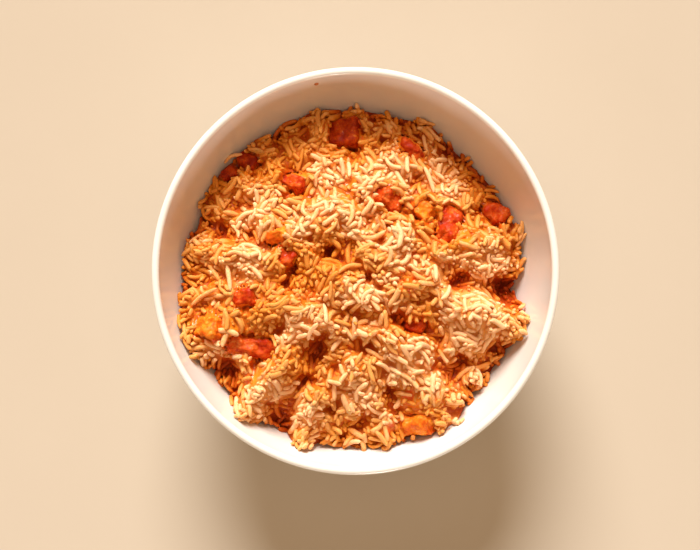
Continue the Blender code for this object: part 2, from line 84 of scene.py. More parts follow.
class Value:
    """A number that changes over a shape; arithmetic on it adds Math nodes."""

    def __init__(self, kit: "NodeKit", socket: bpy.types.NodeSocket) -> None:
        self.kit = kit
        self.socket = socket

    def apply(self, operation: str, first: "Operand", second: "Operand" = 0.0) -> "Value":
        """What one Math node with Blender's name for the operation makes of two numbers."""
        return self.kit.number("ShaderNodeMath", {"operation": operation}, {0: first, 1: second})

    def __add__(self, other: "Operand") -> "Value":
        """The sum."""
        return self.apply("ADD", self, other)

    __radd__ = __add__

    def __mul__(self, other: "Operand") -> "Value":
        """The product."""
        return self.apply("MULTIPLY", self, other)

    __rmul__ = __mul__

    def __sub__(self, other: "Operand") -> "Value":
        """The difference."""
        return self.apply("SUBTRACT", self, other)

    def __rsub__(self, other: "Operand") -> "Value":
        """The difference, taken from a number."""
        return self.apply("SUBTRACT", other, self)

    def __truediv__(self, other: "Operand") -> "Value":
        """The quotient."""
        return self.apply("DIVIDE", self, other)

    def __rtruediv__(self, other: "Operand") -> "Value":
        """The quotient of a number."""
        return self.apply("DIVIDE", other, self)

    def __pow__(self, other: "Operand") -> "Value":
        """The power."""
        return self.apply("POWER", self, other)

    def __rpow__(self, other: "Operand") -> "Value":
        """The power of a number."""
        return self.apply("POWER", other, self)

    def __abs__(self) -> "Value":
        """The size without its sign."""
        return self.apply("ABSOLUTE", self)

    def cosine(self) -> "Value":
        """The cosine."""
        return self.apply("COSINE", self)

    def most(self, other: "Operand") -> "Value":
        """The larger of two numbers."""
        return self.apply("MAXIMUM", self, other)

    def ramp(self, low: float, high: float) -> "Value":
        """A smooth rise from 0 at low to 1 at high; where low is above high, a fall."""
        settings = {"interpolation_type": "SMOOTHSTEP"}
        return self.kit.number("ShaderNodeMapRange", settings, {0: self, 1: low, 2: high})


Operand = Union[Value, float, int]


class NodeKit:
    """A node tree under construction."""

    def __init__(self, tree: bpy.types.NodeTree) -> None:
        """Keeps the tree that the nodes go into."""
        self.tree = tree

    def node(self, kind: str, settings: Settings = None, inputs: Inputs = None) -> bpy.types.Node:
        """Adds a node.

        Args:
            kind: The node's type.
            settings: Its properties, which are set first.
            inputs: Values or links of its sockets, by name or number.

        Returns:
            The node.
        """
        node = self.tree.nodes.new(kind)
        for name, setting in (settings or {}).items():
            setattr(node, name, setting)
        for name, given in (inputs or {}).items():
            self.feed(node.inputs[name], given)
        return node

    def feed(self, socket: bpy.types.NodeSocket, given: object) -> None:
        """Links a socket or sets its value.

        Args:
            socket: The input socket.
            given: A Value, an output socket, a colour or a number.
        """
        if isinstance(given, Value):
            given = given.socket
        if isinstance(given, bpy.types.NodeSocket):
            self.tree.links.new(given, socket)
        elif isinstance(given, tuple) and socket.type == "RGBA":
            socket.default_value = (*given, 1.0)
        else:
            socket.default_value = given

    def out(
        self, kind: str, settings: Settings = None, inputs: Inputs = None, output: int | str = 0
    ) -> bpy.types.NodeSocket:
        """Adds a node, as node() does, and gives one of its outputs, by number or name."""
        return self.node(kind, settings, inputs).outputs[output]

    def number(
        self, kind: str, settings: Settings = None, inputs: Inputs = None, output: int | str = 0
    ) -> Value:
        """The output that out() gives, as a number to work with."""
        return Value(self, self.out(kind, settings, inputs, output))


class Recipe(NodeKit):
    """A material under construction: its nodes and its one surface shader."""

    def __init__(self, name: str) -> None:
        """Makes an empty material with one Principled shader.

        Args:
            name: The material's name.
        """
        self.material = bpy.data.materials.new(name)
        self.material.use_nodes = True
        super().__init__(self.material.node_tree)
        self.shader = self.tree.nodes["Principled BSDF"]
        self.place = self.out("ShaderNodeTexCoord", output="Object")

    def noise(self, scale: float, detail: float = 3.0, rough: float = 0.55, shift: float = 0.0) -> Value:
        """Smooth noise on Object coordinates, from 0 to 1.

        Args:
            scale: Lumps per metre.
            detail: Finer layers added.
            rough: How strong the finer layers are.
            shift: A distance in metres that moves the pattern, so that two patterns differ.

        Returns:
            The noise.
        """
        place = self.place
        if shift:
            moved = {0: place, 1: (shift, -shift, shift)}
            place = self.out("ShaderNodeVectorMath", {"operation": "ADD"}, moved)
        sockets = {"Vector": place, "Scale": scale, "Detail": detail, "Roughness": rough}
        return self.number("ShaderNodeTexNoise", None, sockets)

    def cells(self, scale: float) -> Value:
        """The distance to the nearest of scattered points, in cells; scale is points per metre."""
        sockets = {"Vector": self.place, "Scale": scale}
        return self.number("ShaderNodeTexVoronoi", None, sockets, "Distance")

    def attribute(self, name: str) -> Value:
        """A number that the mesh carries under this name."""
        return self.number("ShaderNodeAttribute", {"attribute_name": name}, None, "Fac")

    def mix(self, factor: Operand, first: object, second: object) -> bpy.types.NodeSocket:
        """A mix of two colours or colour sockets: the first at factor 0, the second at 1."""
        return self.out("ShaderNodeMix", {"data_type": "RGBA"}, {0: factor, 6: first, 7: second}, 2)

    def bump(self, height: Value, depth: float, strength: float = 1.0) -> None:
        """Feeds the shader's Normal from a relief from 0 to 1 that is so many metres deep."""
        sockets = {"Height": height, "Distance": depth, "Strength": strength}
        self.feed(self.shader.inputs["Normal"], self.out("ShaderNodeBump", None, sockets))

    def surface(self, **sockets: object) -> bpy.types.Material:
        """Sets the shader's sockets and ends the recipe.

        Args:
            sockets: Values by socket name, with _ for each space.

        Returns:
            The finished material.
        """
        for name, given in sockets.items():
            self.feed(self.shader.inputs[name.replace("_", " ")], given)
        return self.material


# ---- finishes -------------------------------------------------------------------------


@dataclass(frozen=True)
class GlazeFinish:
    """Smooth warm white glaze, a little cloudy, with a faint ripple and rare pinholes."""

    white: Colour = (0.80, 0.785, 0.76)
    cloud: Colour = (0.765, 0.745, 0.70)
    pinhole: Colour = (0.42, 0.36, 0.29)
    pinhole_share: float = 0.35
    roughness: float = 0.16
    relief: float = 0.00006

    def material(self) -> bpy.types.Material:
        """The glaze as a material."""
        recipe = Recipe("Glazed_White")
        clouds = recipe.noise(28.0, 4.0)
        pores = recipe.cells(420.0).ramp(0.10, 0.03) * recipe.noise(60.0, 2.0, shift=0.4).ramp(0.56, 0.66)
        colour = recipe.mix(clouds.ramp(0.35, 0.7), self.white, self.cloud)
        colour = recipe.mix(pores * self.pinhole_share, colour, self.pinhole)
        ripple = recipe.noise(90.0, 2.0, shift=0.2)
        recipe.bump(ripple * 0.8 - pores * 0.2, self.relief, 0.5)
        return recipe.surface(
            Base_Color=colour,
            Roughness=self.roughness + 0.10 * recipe.noise(240.0, 3.0, shift=0.7),
            Coat_Weight=0.35,
            Coat_Roughness=0.06,
            IOR=1.5,
        )


@dataclass(frozen=True)
class RiceFinish:
    """Moist cooked rice: cream grains stained orange by tomato, with painted shade: lower sides orange, and
    redder and darker the deeper they lie, which is partly sauce pooled low.
    """

    cream: Colour = (0.93, 0.55, 0.29)
    golden: Colour = (0.76, 0.345, 0.09)
    orange: Colour = (0.68, 0.215, 0.012)
    # deep and pit: painted shade, partly pooled sauce, for the deepest points.
    deep: Colour = (0.56, 0.105, 0.004)
    pit: Colour = (0.36, 0.035, 0.001)
    roughness: float = 0.36
    relief: float = 0.0003

    def material(self) -> bpy.types.Material:
        """The grains' material, which reads the attributes tint, side and deep."""
        recipe = Recipe("Tomato_Rice")
        mottle = recipe.noise(420.0, 4.0, 0.6)
        tint = recipe.attribute("tint")
        colour = recipe.mix((tint + 0.8 * (mottle - 0.5)).ramp(0.15, 0.9), self.golden, self.cream)
        soaked = (0.2 - tint - 0.4 * (mottle - 0.5)).ramp(0.0, 0.7)
        colour = recipe.mix(soaked * 0.65, colour, self.orange)
        # Painted shade: the lower sides of each grain turn orange, the paler grains less so.
        side = (recipe.attribute("side") + 0.3 * (mottle - 0.5)).ramp(0.2, 0.85)
        colour = recipe.mix(side * (0.92 - 0.27 * tint), colour, self.orange)
        # Painted shade, partly pooled sauce: the deeper a point lies, the more orange, dark red and at last
        # red-brown.
        deep = recipe.attribute("deep") + 0.35 * (recipe.noise(190.0, 3.0, shift=0.3) - 0.5)
        colour = recipe.mix(deep.ramp(0.15, 0.5) * 0.9, colour, self.orange)
        colour = recipe.mix(deep.ramp(0.45, 0.8), colour, self.deep)
        colour = recipe.mix(deep.ramp(0.75, 1.1), colour, self.pit)
        streak = recipe.noise(1500.0, 3.0, 0.6, shift=0.1)
        recipe.bump(streak * 0.5 + mottle * 0.5, self.relief, 0.7)
        return recipe.surface(
            Base_Color=colour,
            Roughness=self.roughness + 0.24 * recipe.noise(700.0, 2.0, shift=0.9),
            Coat_Weight=0.05,
            Coat_Roughness=0.3,
            Specular_IOR_Level=0.22,
            Subsurface_Weight=0.5,
            Subsurface_Radius=(1.0, 0.8, 0.6),
            Subsurface_Scale=0.001,
            IOR=1.38,
        )


@dataclass(frozen=True)
class SauceFinish:
    """Thick tomato sauce that binds the rice: orange near the grains, dark red in the pits, which is partly
    pooled sauce and partly painted shade.
    """

    starchy: Colour = (0.80, 0.33, 0.085)
    orange: Colour = (0.62, 0.155, 0.010)
    pulp: Colour = (0.74, 0.10, 0.005)
    soft_pulp: Colour = (0.84, 0.24, 0.014)
    # red and brown: painted shade, partly pooled sauce, in the pits.
    red: Colour = (0.52, 0.08, 0.003)
    brown: Colour = (0.30, 0.024, 0.001)
    roughness: float = 0.5
    relief: float = 0.0006

    def material(self) -> bpy.types.Material:
        """The sauce as a material, which reads the attributes tint, pulp and deep."""
        recipe = Recipe("Tomato_Sauce")
        lumps = recipe.noise(330.0, 4.0, 0.6)
        starch = (recipe.attribute("tint") + 0.5 * (lumps - 0.5)).ramp(0.35, 1.0)
        colour = recipe.mix(starch, self.orange, self.starchy)
        pulp = (recipe.attribute("pulp") + 0.5 * (lumps - 0.5)).ramp(0.2, 0.7)
        ripe = recipe.mix(recipe.noise(160.0, 3.0, shift=0.5).ramp(0.38, 0.62), self.soft_pulp, self.pulp)
        colour = recipe.mix(pulp, colour, ripe)
        # Painted shade, partly pooled sauce: deeper points turn red and then brown.
        deep = recipe.attribute("deep") + 0.4 * (lumps - 0.5)
        colour = recipe.mix(deep.ramp(0.3, 0.7), colour, self.red)
        colour = recipe.mix(deep.ramp(0.65, 1.1), colour, self.brown)
        recipe.bump(lumps, self.relief, 0.8)
        return recipe.surface(
            Base_Color=colour,
            Roughness=self.roughness - 0.22 * pulp,
            Coat_Weight=0.3 * pulp,
            Coat_Roughness=0.12,
            Specular_IOR_Level=0.2,
            Subsurface_Weight=0.3,
            Subsurface_Radius=(1.0, 0.5, 0.2),
            Subsurface_Scale=0.0012,
        )


class Cut(Enum):
    """What a piece of tomato shows upwards: (name, light colour, dark colour, fibre colour)."""

    # The skin pieces lie in the bowl's shadow at the back; their darker colours are partly painted shade.
    SKIN = ("Tomato_Skin", (0.50, 0.055, 0.002), (0.26, 0.012, 0.001), (0.66, 0.16, 0.008))
    FLESH = ("Tomato_Flesh", (0.60, 0.085, 0.007), (0.42, 0.024, 0.002), (0.72, 0.21, 0.045))
    PEACH = ("Tomato_Peach", (0.80, 0.23, 0.014), (0.66, 0.10, 0.004), (0.86, 0.36, 0.07))
    DRIED = ("Dried_Sauce", (0.56, 0.20, 0.075), (0.40, 0.11, 0.03), (0.62, 0.27, 0.12))


@dataclass(frozen=True)
class TomatoFinish:
    """Wet cooked tomato: fibrous, glossy and a little see-through."""

    cut: Cut
    roughness: float = 0.32
    relief: float = 0.00025

    def material(self) -> bpy.types.Material:
        """The tomato as a material."""
        name, light, dark, fibre = self.cut.value
        recipe = Recipe(name)
        fibres = recipe.noise(520.0, 5.0, 0.62)
        patches = recipe.noise(200.0, 3.0, shift=0.6)
        colour = recipe.mix((fibres * 0.4 + patches * 0.6).ramp(0.40, 0.60), dark, light)
        threads = recipe.noise(900.0, 4.0, 0.6, shift=0.4)
        colour = recipe.mix((threads * 0.6 + patches * 0.4).ramp(0.54, 0.66) * 0.75, colour, fibre)
        wet = recipe.noise(260.0, 3.0, shift=0.2)
        recipe.bump(fibres * 0.7 + patches * 0.3, self.relief, 0.5)
        return recipe.surface(
            Base_Color=colour,
            Roughness=self.roughness + 0.3 * wet,
            Coat_Weight=0.15 * wet.ramp(0.5, 0.65),
            Coat_Roughness=0.15,
            Specular_IOR_Level=0.12,
            Subsurface_Weight=0.4,
            Subsurface_Radius=(1.0, 0.45, 0.2),
            Subsurface_Scale=0.0016,
        )


@dataclass(frozen=True)
class FloorFinish:
    """A plain pale studio floor with a faint, fine grain."""

    pale: Colour = (0.54, 0.47, 0.385)
    shade: Colour = (0.51, 0.44, 0.355)
    roughness: float = 0.85

    def material(self) -> bpy.types.Material:
        """The floor as a material."""
        recipe = Recipe("Pale_Floor")
        colour = recipe.mix(recipe.noise(9.0, 5.0), self.pale, self.shade)
        rough = self.roughness + 0.1 * recipe.noise(300.0, 2.0)
        return recipe.surface(Base_Color=colour, Roughness=rough, Specular_IOR_Level=0.06)


# ---- making pieces --------------------------------------------------------------------


def new_mesh(name: str, points: np.ndarray, faces: Iterable[Sequence[int]]) -> bpy.types.Mesh:
    """A smooth mesh from points in millimetres, with its faces turned outwards.

    Args:
        name: The mesh's name.
        points: One row for each point.
        faces: The corners of each face.

    Returns:
        The mesh, in metres.
    """
    mesh = bpy.data.meshes.new(name)
    mesh.from_pydata([tuple(point) for point in points * MM], [], faces)
    work = bmesh.new()
    work.from_mesh(mesh)
    bmesh.ops.recalc_face_normals(work, faces=work.faces)
    work.to_mesh(mesh)
    work.free()
    mesh.shade_smooth()
    return mesh


def new_object(name: str, data: bpy.types.ID) -> bpy.types.Object:
    """An object at the origin in the scene.

    Args:
        name: The object's name.
        data: Its mesh, lamp or camera.

    Returns:
        The object.
    """
    item = bpy.data.objects.new(name, data)
    bpy.context.scene.collection.objects.link(item)
    return item


def shell(name: str, points: np.ndarray, turns: int) -> bpy.types.Object:
    """A closed piece over rings of points.

    Args:
        name: The piece's name.
        points: The rings, one after another, and then the point that closes the first ring and
            the point that closes the last.
        turns: How many points each ring has.

    Returns:
        The piece.
    """
    last = len(points) - 2
    faces = []
    for step in range(turns):
        after = (step + 1) % turns
        faces.append((last, step, after))
        faces.append((last + 1, last - turns + after, last - turns + step))
        for low in range(0, last - turns, turns):
            high = low + turns
            faces.append((low + step, high + step, high + after, low + after))
    return new_object(name, new_mesh(name, points, faces))


def round_points(radius: Number, height: Number, turns: int) -> np.ndarray:
    """One ring of points about Z.

    Args:
        radius: The ring's radius, or one for each point.
        height: Its height, or one for each point.
        turns: How many points it has.

    Returns:
        Rows of (x, y, z).
    """
    angles = headings(turns)
    return np.stack([radius * np.cos(angles), radius * np.sin(angles), np.full(turns, height)], 1)


def headings(turns: int) -> np.ndarray:
    """The directions of a ring's points, in radians."""
    return np.arange(turns) * math.tau / turns


def mesh_points(item: bpy.types.Object) -> np.ndarray:
    """The points of a piece's mesh.

    Args:
        item: The piece.

    Returns:
        Rows of (x, y, z), in millimetres.
    """
    points = np.empty(len(item.data.vertices) * 3)
    item.data.vertices.foreach_get("co", points)
    return points.reshape(-1, 3) / MM


def store(mesh: bpy.types.Mesh, name: str, values: Sequence, kind: str = "FLOAT") -> None:
    """Stores a value for each point of a mesh, as an attribute of Blender's kind."""
    slot = "vector" if kind == "FLOAT_VECTOR" else "value"
    mesh.attributes.new(name, kind, "POINT").data.foreach_set(slot, np.ravel(values))


def dress(item: bpy.types.Object, material: bpy.types.Material, slot: str, *nodes: str) -> bpy.types.Object:
    """Args:
        item: The piece.
        material: Its finish.
        slot: Not used.
        nodes: The solids that it stands for.

    Returns:
        The piece.
    """
    item.data.materials.clear()
    item.data.materials.append(material)
    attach(item, ROOT)
    if nodes:
        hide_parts(*nodes)
    LOG.info("%s: %d faces", item.name, len(item.data.polygons))
    return item


def baked(item: bpy.types.Object) -> bpy.types.Object:
    """Replaces an object's mesh by its evaluated one and takes its modifiers off.

    Args:
        item: The object.

    Returns:
        The same object, with a plain mesh.
    """
    graph = bpy.context.evaluated_depsgraph_get()
    mesh = bpy.data.meshes.new_from_object(item.evaluated_get(graph))
    item.modifiers.clear()
    item.data = mesh
    return item


# ---- the bowl -------------------------------------------------------------------------


@dataclass(frozen=True)
class Bowl:
    """The bowl: foot ring, recess, outer wall, rounded lip and inner wall, in millimetres."""

    rim_radius: float = 77.5
    height: float = 66.0
    wall: float = 3.0
    inner_depth: float = 59.5
    outer_depth: float = 61.0
    lean: float = 0.22
    inner_curve: float = 33.0
    outer_curve: float = 27.0
    foot_outer: float = 36.6
    foot_inner: float = 33.2
    foot_edge: float = 0.6
    recess: float = 2.6
    recess_inset: float = 3.0
    turns: int = 192
    wall_steps: int = 40
    lip_steps: int = 14
    edge_steps: int = 4

    def wall_radius(self, depth: Number, wall: float, curve: float, lowest: float) -> Number:
        """A wall's radius, of a wall that leans inwards and curves in at its foot.

        Args:
            depth: The depth below the rim.
            wall: How far inside the rim the wall starts.
            curve: How far the foot curves in.
            lowest: The depth at which it is level.

        Returns:
            The radius there.
        """
        bend = np.sqrt(np.clip(1.0 - (depth / lowest) ** 2, 0.0, 1.0))
        return self.rim_radius - wall - self.lean * (depth - self.wall / 2) - curve * (1 - bend)

    def inner_radius(self, depth: Number) -> Number:
        """The inner wall's radius at a depth below the rim."""
        return self.wall_radius(depth, self.wall, self.inner_curve, self.inner_depth)

    def outer_radius(self, depth: Number) -> Number:
        """The outer wall's radius at a depth below the rim."""
        return self.wall_radius(depth, 0.0, self.outer_curve, self.outer_depth)

    def wall_depths(self, last: float) -> np.ndarray:
        """Depths from the lip down to last, closer together near the base."""
        turns = np.linspace(math.asin(self.wall / 2 / last), math.pi / 2, self.wall_steps + 1)
        return last * np.sin(turns)

    def rounded(self, middle: Span, edge: float, first: float, sweep: float, steps: int) -> list[Span]:
        """A rounded edge of the section.

        Args:
            middle: The round's middle, as (radius, height).
            edge: The round's own radius.
            first: The direction of its first point, in degrees.
            sweep: How far it turns from there, in degrees.
            steps: How many steps it has.

        Returns:
            The points as (radius, height).
        """
        turns = [math.radians(first + sweep * step / steps) for step in range(steps + 1)]
        return [(middle[0] + edge * math.cos(turn), middle[1] + edge * math.sin(turn)) for turn in turns]

    def profile(self) -> list[Span]:
        """The whole section as (radius, height), from the recess's middle to the inner floor."""
        edge, steps, lip = self.foot_edge, self.edge_steps, self.wall / 2
        points = [(0.0, self.recess), (self.foot_inner - self.recess_inset, self.recess)]
        points += self.rounded((self.foot_inner - edge, self.recess - edge), edge, 90.0, -90.0, steps)
        points += self.rounded((self.foot_inner + edge, edge), edge, 180.0, 90.0, steps)
        points += self.rounded((self.foot_outer - edge, edge), edge, -90.0, 90.0, steps)
        for depth in reversed(self.wall_depths(self.outer_depth)):
            points.append((float(self.outer_radius(depth)), self.height - depth))
        middle = (self.rim_radius - lip, self.height - lip)
        points += self.rounded(middle, lip, 0.0, 180.0, self.lip_steps)[1:-1]
        for depth in self.wall_depths(self.inner_depth):
            points.append((float(self.inner_radius(depth)), self.height - depth))
        return points + [(0.0, self.height - self.inner_depth)]

    def build(self) -> bpy.types.Object:
        """Turns the section about Z and dresses it."""
        profile = self.profile()
        rings = [round_points(radius, height, self.turns) for radius, height in profile[1:-1]]
        ends = [(0.0, 0.0, profile[0][1]), (0.0, 0.0, profile[-1][1])]
        item = shell("White_Bowl", np.concatenate([*rings, ends]), self.turns)
        return dress(item, GlazeFinish().material(), "glazed_white", "Bowl")


# ---- the heap's form ------------------------------------------------------------------


class Mound(NamedTuple):
    """A place where the rice stands higher against the wall, by direction in degrees."""

    heading: float
    rise: float
    spread: float


class Clump(NamedTuple):
    """A raised clump, or with a negative rise a hollow, as an oval seen from above."""

    x: float
    y: float
    rise: float
    length: float
    width: float
    turn: float


EDGE_MOUNDS = [
    Mound(*row)
    for row in (
        (-5, -3.0, 5), (-18, 11.5, 6), (-31, 2.5, 5), (-47, -2.5, 4), (-59, 9.5, 11),
        (-81, 5.0, 4), (-107, 8.5, 5), (-115, -2.5, 3), (-128, 10.5, 5), (-144, -3.0, 4),
        (-157, 10.0, 10), (-171, 2.5, 4), (173, 3.5, 5), (163, -4.0, 4), (120, -3.0, 5),
        (104, 2.0, 5), (64, 2.5, 5), (48, -2.0, 6), (13, 5.0, 7),
    )
]

CLUMPS = [
    Clump(*row)
    for row in (
        (-27, 20, 4.2, 12, 8, 20), (-44, 4, 3.2, 9, 8, -10), (-8, 25, 3.0, 9, 6, 0),
        (8, 31, 3.4, 9, 6, 25), (36, 31, 4.0, 8, 7, 0), (-3, 39, 2.6, 7, 6, 0),
        (23, 42, 2.6, 9, 6, 10), (17, 13, 3.4, 9, 6, -10), (30, 0, 3.2, 8, 7, 0),
        (47, 14, 2.6, 7, 6, 0), (53, 3, 3.0, 8, 8, 0), (1, -8, 3.6, 13, 4, -35),
        (-19, -17, 4.2, 10, 6, -25), (18, -30, 4.2, 13, 8, -25), (48, -19, 5.0, 11, 9, 0),
        (-42, -37, 3.4, 8, 6, -40), (-27, -38, 3.0, 7, 6, 60), (0, -39, 3.0, 9, 5, 0),
        (-12, -53, 2.6, 10, 6, 0), (28, -54, 2.6, 9, 6, 0), (-58, 4, 2.2, 7, 5, 0),
        (-23, -3, -5.0, 6, 5, 0), (-8, 6, -3.6, 5, 4, 0), (0, 0, -3.4, 4, 4, 0),
        (-3, -17, -4.2, 6, 4, -10), (22, -20, -4.2, 8, 3, -15), (-1, -28, -4.0, 5, 3, 0),
        (-15, -33, -6.4, 6, 8, 0), (31, -28, -4.0, 3, 7, 20), (40, -37, -4.0, 7, 4, 30),
        (18, -48, -3.4, 6, 3, 0), (26, 8, -4.0, 5, 5, 0), (41, -4, -4.0, 5, 4, -30),
        (-47, 26, -4.0, 5, 4, 0), (-37, -37, -3.6, 2.5, 5, 0), (-54, -35, -4.0, 6, 3, -40),
        (24, 35, -3.0, 4, 3, 0), (50, 21, -3.4, 4, 4, 0), (60, -9, -5.0, 4, 5, 0),
        (-31, -55, -4.0, 6, 3, -30),
    )
]


@dataclass(frozen=True)
class Heap:
    """The heap's outer form over its whole outline, in millimetres, as the solids have it."""

    bowl: Bowl
    gap: float = 0.4
    crown_depth: float = 2.0
    crown_shift: Span = (0.0, -6.0)
    dome_power: float = 1.8
    edge_depth: float = 22.8
    edge_to_back: float = 4.5
    edge_to_right: float = 2.5
    edge_guess: float = 65.0
    edge_rounds: int = 40
    clump_spacing: float = 9.5
    clump_rows: float = 0.87
    clump_jitter: float = 3.0
    clump_radius: Span = (5.5, 8.0)
    clump_rise: Span = (1.0, 3.2)
    clump_fall: float = 1.4
    clump_seed: int = 41

    def depth_at_wall(self, heading: Number) -> Number:
        """How far below the rim the rice meets the wall.

        Args:
            heading: The direction from the middle, in radians.

        Returns:
            The depth.
        """
        depth = self.edge_depth + self.edge_to_back * np.sin(heading) + self.edge_to_right * np.cos(heading)
        for mound in EDGE_MOUNDS:
            away = (np.degrees(heading) - mound.heading + 180.0) % 360.0 - 180.0
            depth = depth - mound.rise * np.exp(-((away / mound.spread) ** 2))
        return depth

    def small_clumps(self, x: np.ndarray, y: np.ndarray) -> Iterator[tuple[float, np.ndarray]]:
        """The jittered small clumps that cover the heap, one after another.

        Args:
            x: Places to the right.
            y: Places to the back.

        Yields:
            A clump's rise, and its dome at each place: 1 at its middle and 0 at its edge.
        """
        random = np.random.default_rng(self.clump_seed)
        rows = int(self.bowl.rim_radius / self.clump_spacing) + 1
        for row in range(-rows, rows + 1):
            for column in range(-rows, rows + 1):
                jitter_x, jitter_y = random.uniform(-self.clump_jitter, self.clump_jitter, 2)
                middle_x = (column + 0.5 * (row % 2)) * self.clump_spacing + jitter_x
                middle_y = row * self.clump_spacing * self.clump_rows + jitter_y
                radius = random.uniform(*self.clump_radius)
                rise = random.uniform(*self.clump_rise)
                yield rise, 1.0 - ((x - middle_x) ** 2 + (y - middle_y) ** 2) / radius**2

    def large_clumps(self, x: np.ndarray, y: np.ndarray, high: float, low: float, size: float) -> np.ndarray:
        """The rise of the large clumps and hollows.

        Args:
            x: Places to the right.
            y: Places to the back.
            high: How much of each clump's rise counts.
            low: How much of each hollow's fall counts.
            size: The hollows' size against their own.

        Returns:
            The rise at each place.
        """
        relief = np.zeros_like(x)
        for clump in CLUMPS:
            turn = math.radians(clump.turn)
            along = (x - clump.x) * math.cos(turn) + (y - clump.y) * math.sin(turn)
            across = (y - clump.y) * math.cos(turn) - (x - clump.x) * math.sin(turn)
            share, wide = (high, 1.0) if clump.rise > 0 else (low, size)
            oval = (along / clump.length / wide) ** 2 + (across / clump.width / wide) ** 2
            relief = relief + clump.rise * share * np.exp(-(oval**self.clump_fall))
        return relief

    def height(self, x: np.ndarray, y: np.ndarray) -> np.ndarray:
        """The bare heap's height above the table.

        Args:
            x: Places to the right.
            y: Places to the back.

        Returns:
            The height at each place.
        """
        edge = self.depth_at_wall(np.arctan2(y, x))
        reach = self.bowl.inner_radius(edge)
        inside = np.clip(1.0 - (np.hypot(x, y) / reach) ** 2, 0.0, 1.0)
        shift_x, shift_y = self.crown_shift
        out = np.hypot(x - shift_x * inside, y - shift_y * inside) / reach
        depth = self.crown_depth + (edge - self.crown_depth) * out**self.dome_power
        relief = np.zeros_like(x)
        for rise, dome in self.small_clumps(x, y):
            relief = np.maximum(relief, rise * dome)
        relief = relief + self.large_clumps(x, y, 1.0, 1.0, 1.0)
        return self.bowl.height - depth + relief - sum(self.clump_rise) / 2

    def edge(self, around: np.ndarray, shoulder: float) -> tuple[np.ndarray, np.ndarray]:
        """Where a surface that lies under the heap's top meets the wall.

        Args:
            around: Directions from the middle, in radians.
            shoulder: How far under the heap's top the surface lies there.

        Returns:
            The radius and the height in each direction.
        """
        radius = height = np.full(len(around), self.edge_guess)
        for _ in range(self.edge_rounds):
            height = self.height(radius * np.cos(around), radius * np.sin(around)) - shoulder
            target = self.bowl.inner_radius(self.bowl.height - height) - self.gap
            radius = radius + 0.5 * (target - radius)
        return radius, height


@dataclass(frozen=True)
class SauceCore:
    """The body of the heap: starchy sauce that fills the gaps between the grains, down to the floor."""

    pile: "Pile"
    shoulder: float = 2.4
    turns: int = 320
    rings: int = 110
    low_rings: int = 10
    level_from: float = 0.93
    lump_size: float = 1.3
    lump_rise: float = 0.35

    def lumps(self, points: np.ndarray) -> np.ndarray:
        """A lumpy rise at each point, from rows of (x, y, z)."""
        return np.array([noise.noise(Vector(point) / self.lump_size) for point in points]) * self.lump_rise

    def points(self) -> np.ndarray:
        """Rings from the middle out to the wall and down to the floor, and the two middles."""
        heap = self.pile.heap
        bowl = heap.bowl
        floor = bowl.height - bowl.inner_depth + heap.gap
        reach, edge = heap.edge(headings(self.turns), self.shoulder)
        rings = []
        for ring in range(1, self.rings + 1):
            share = ring / self.rings
            row = round_points(reach * share, 0.0, self.turns)
            under = self.pile.gum[self.pile.cell(row[:, 0], row[:, 1])]
            blend = np.clip((share - self.level_from) / (1.0 - self.level_from), 0.0, 1.0)
            row[:, 2] = under * (1 - blend) + edge * blend
            if ring < self.rings:
                row[:, 2] += self.lumps(row)
            rings.append(row)
        first = np.arcsin((bowl.height - edge) / bowl.inner_depth)
        for ring in range(1, self.low_rings + 1):
            depth = bowl.inner_depth * np.sin(first + (math.pi / 2 - first) * ring / self.low_rings)
            height = np.maximum(bowl.height - depth, floor)
            rings.append(round_points(bowl.inner_radius(depth) - heap.gap, height, self.turns))
        ends = [(0.0, 0.0, float(rings[0][:, 2].mean())), (0.0, 0.0, floor)]
        return np.concatenate([*rings, ends])

    def build(self) -> bpy.types.Object:
        """Closes the surface over the points, stores its shades and dresses it."""
        points = self.points()
        item = shell("Rice_Core", points, self.turns)
        self.pile.shade(item)
        store(item.data, "tint", np.clip(self.pile.paleness(points[:, 0], points[:, 1]), -1.0, 1.0))
        return dress(item, SauceFinish().material(), "tomato_rice", "Rice")


# ---- the tomato -----------------------------------------------------------------------


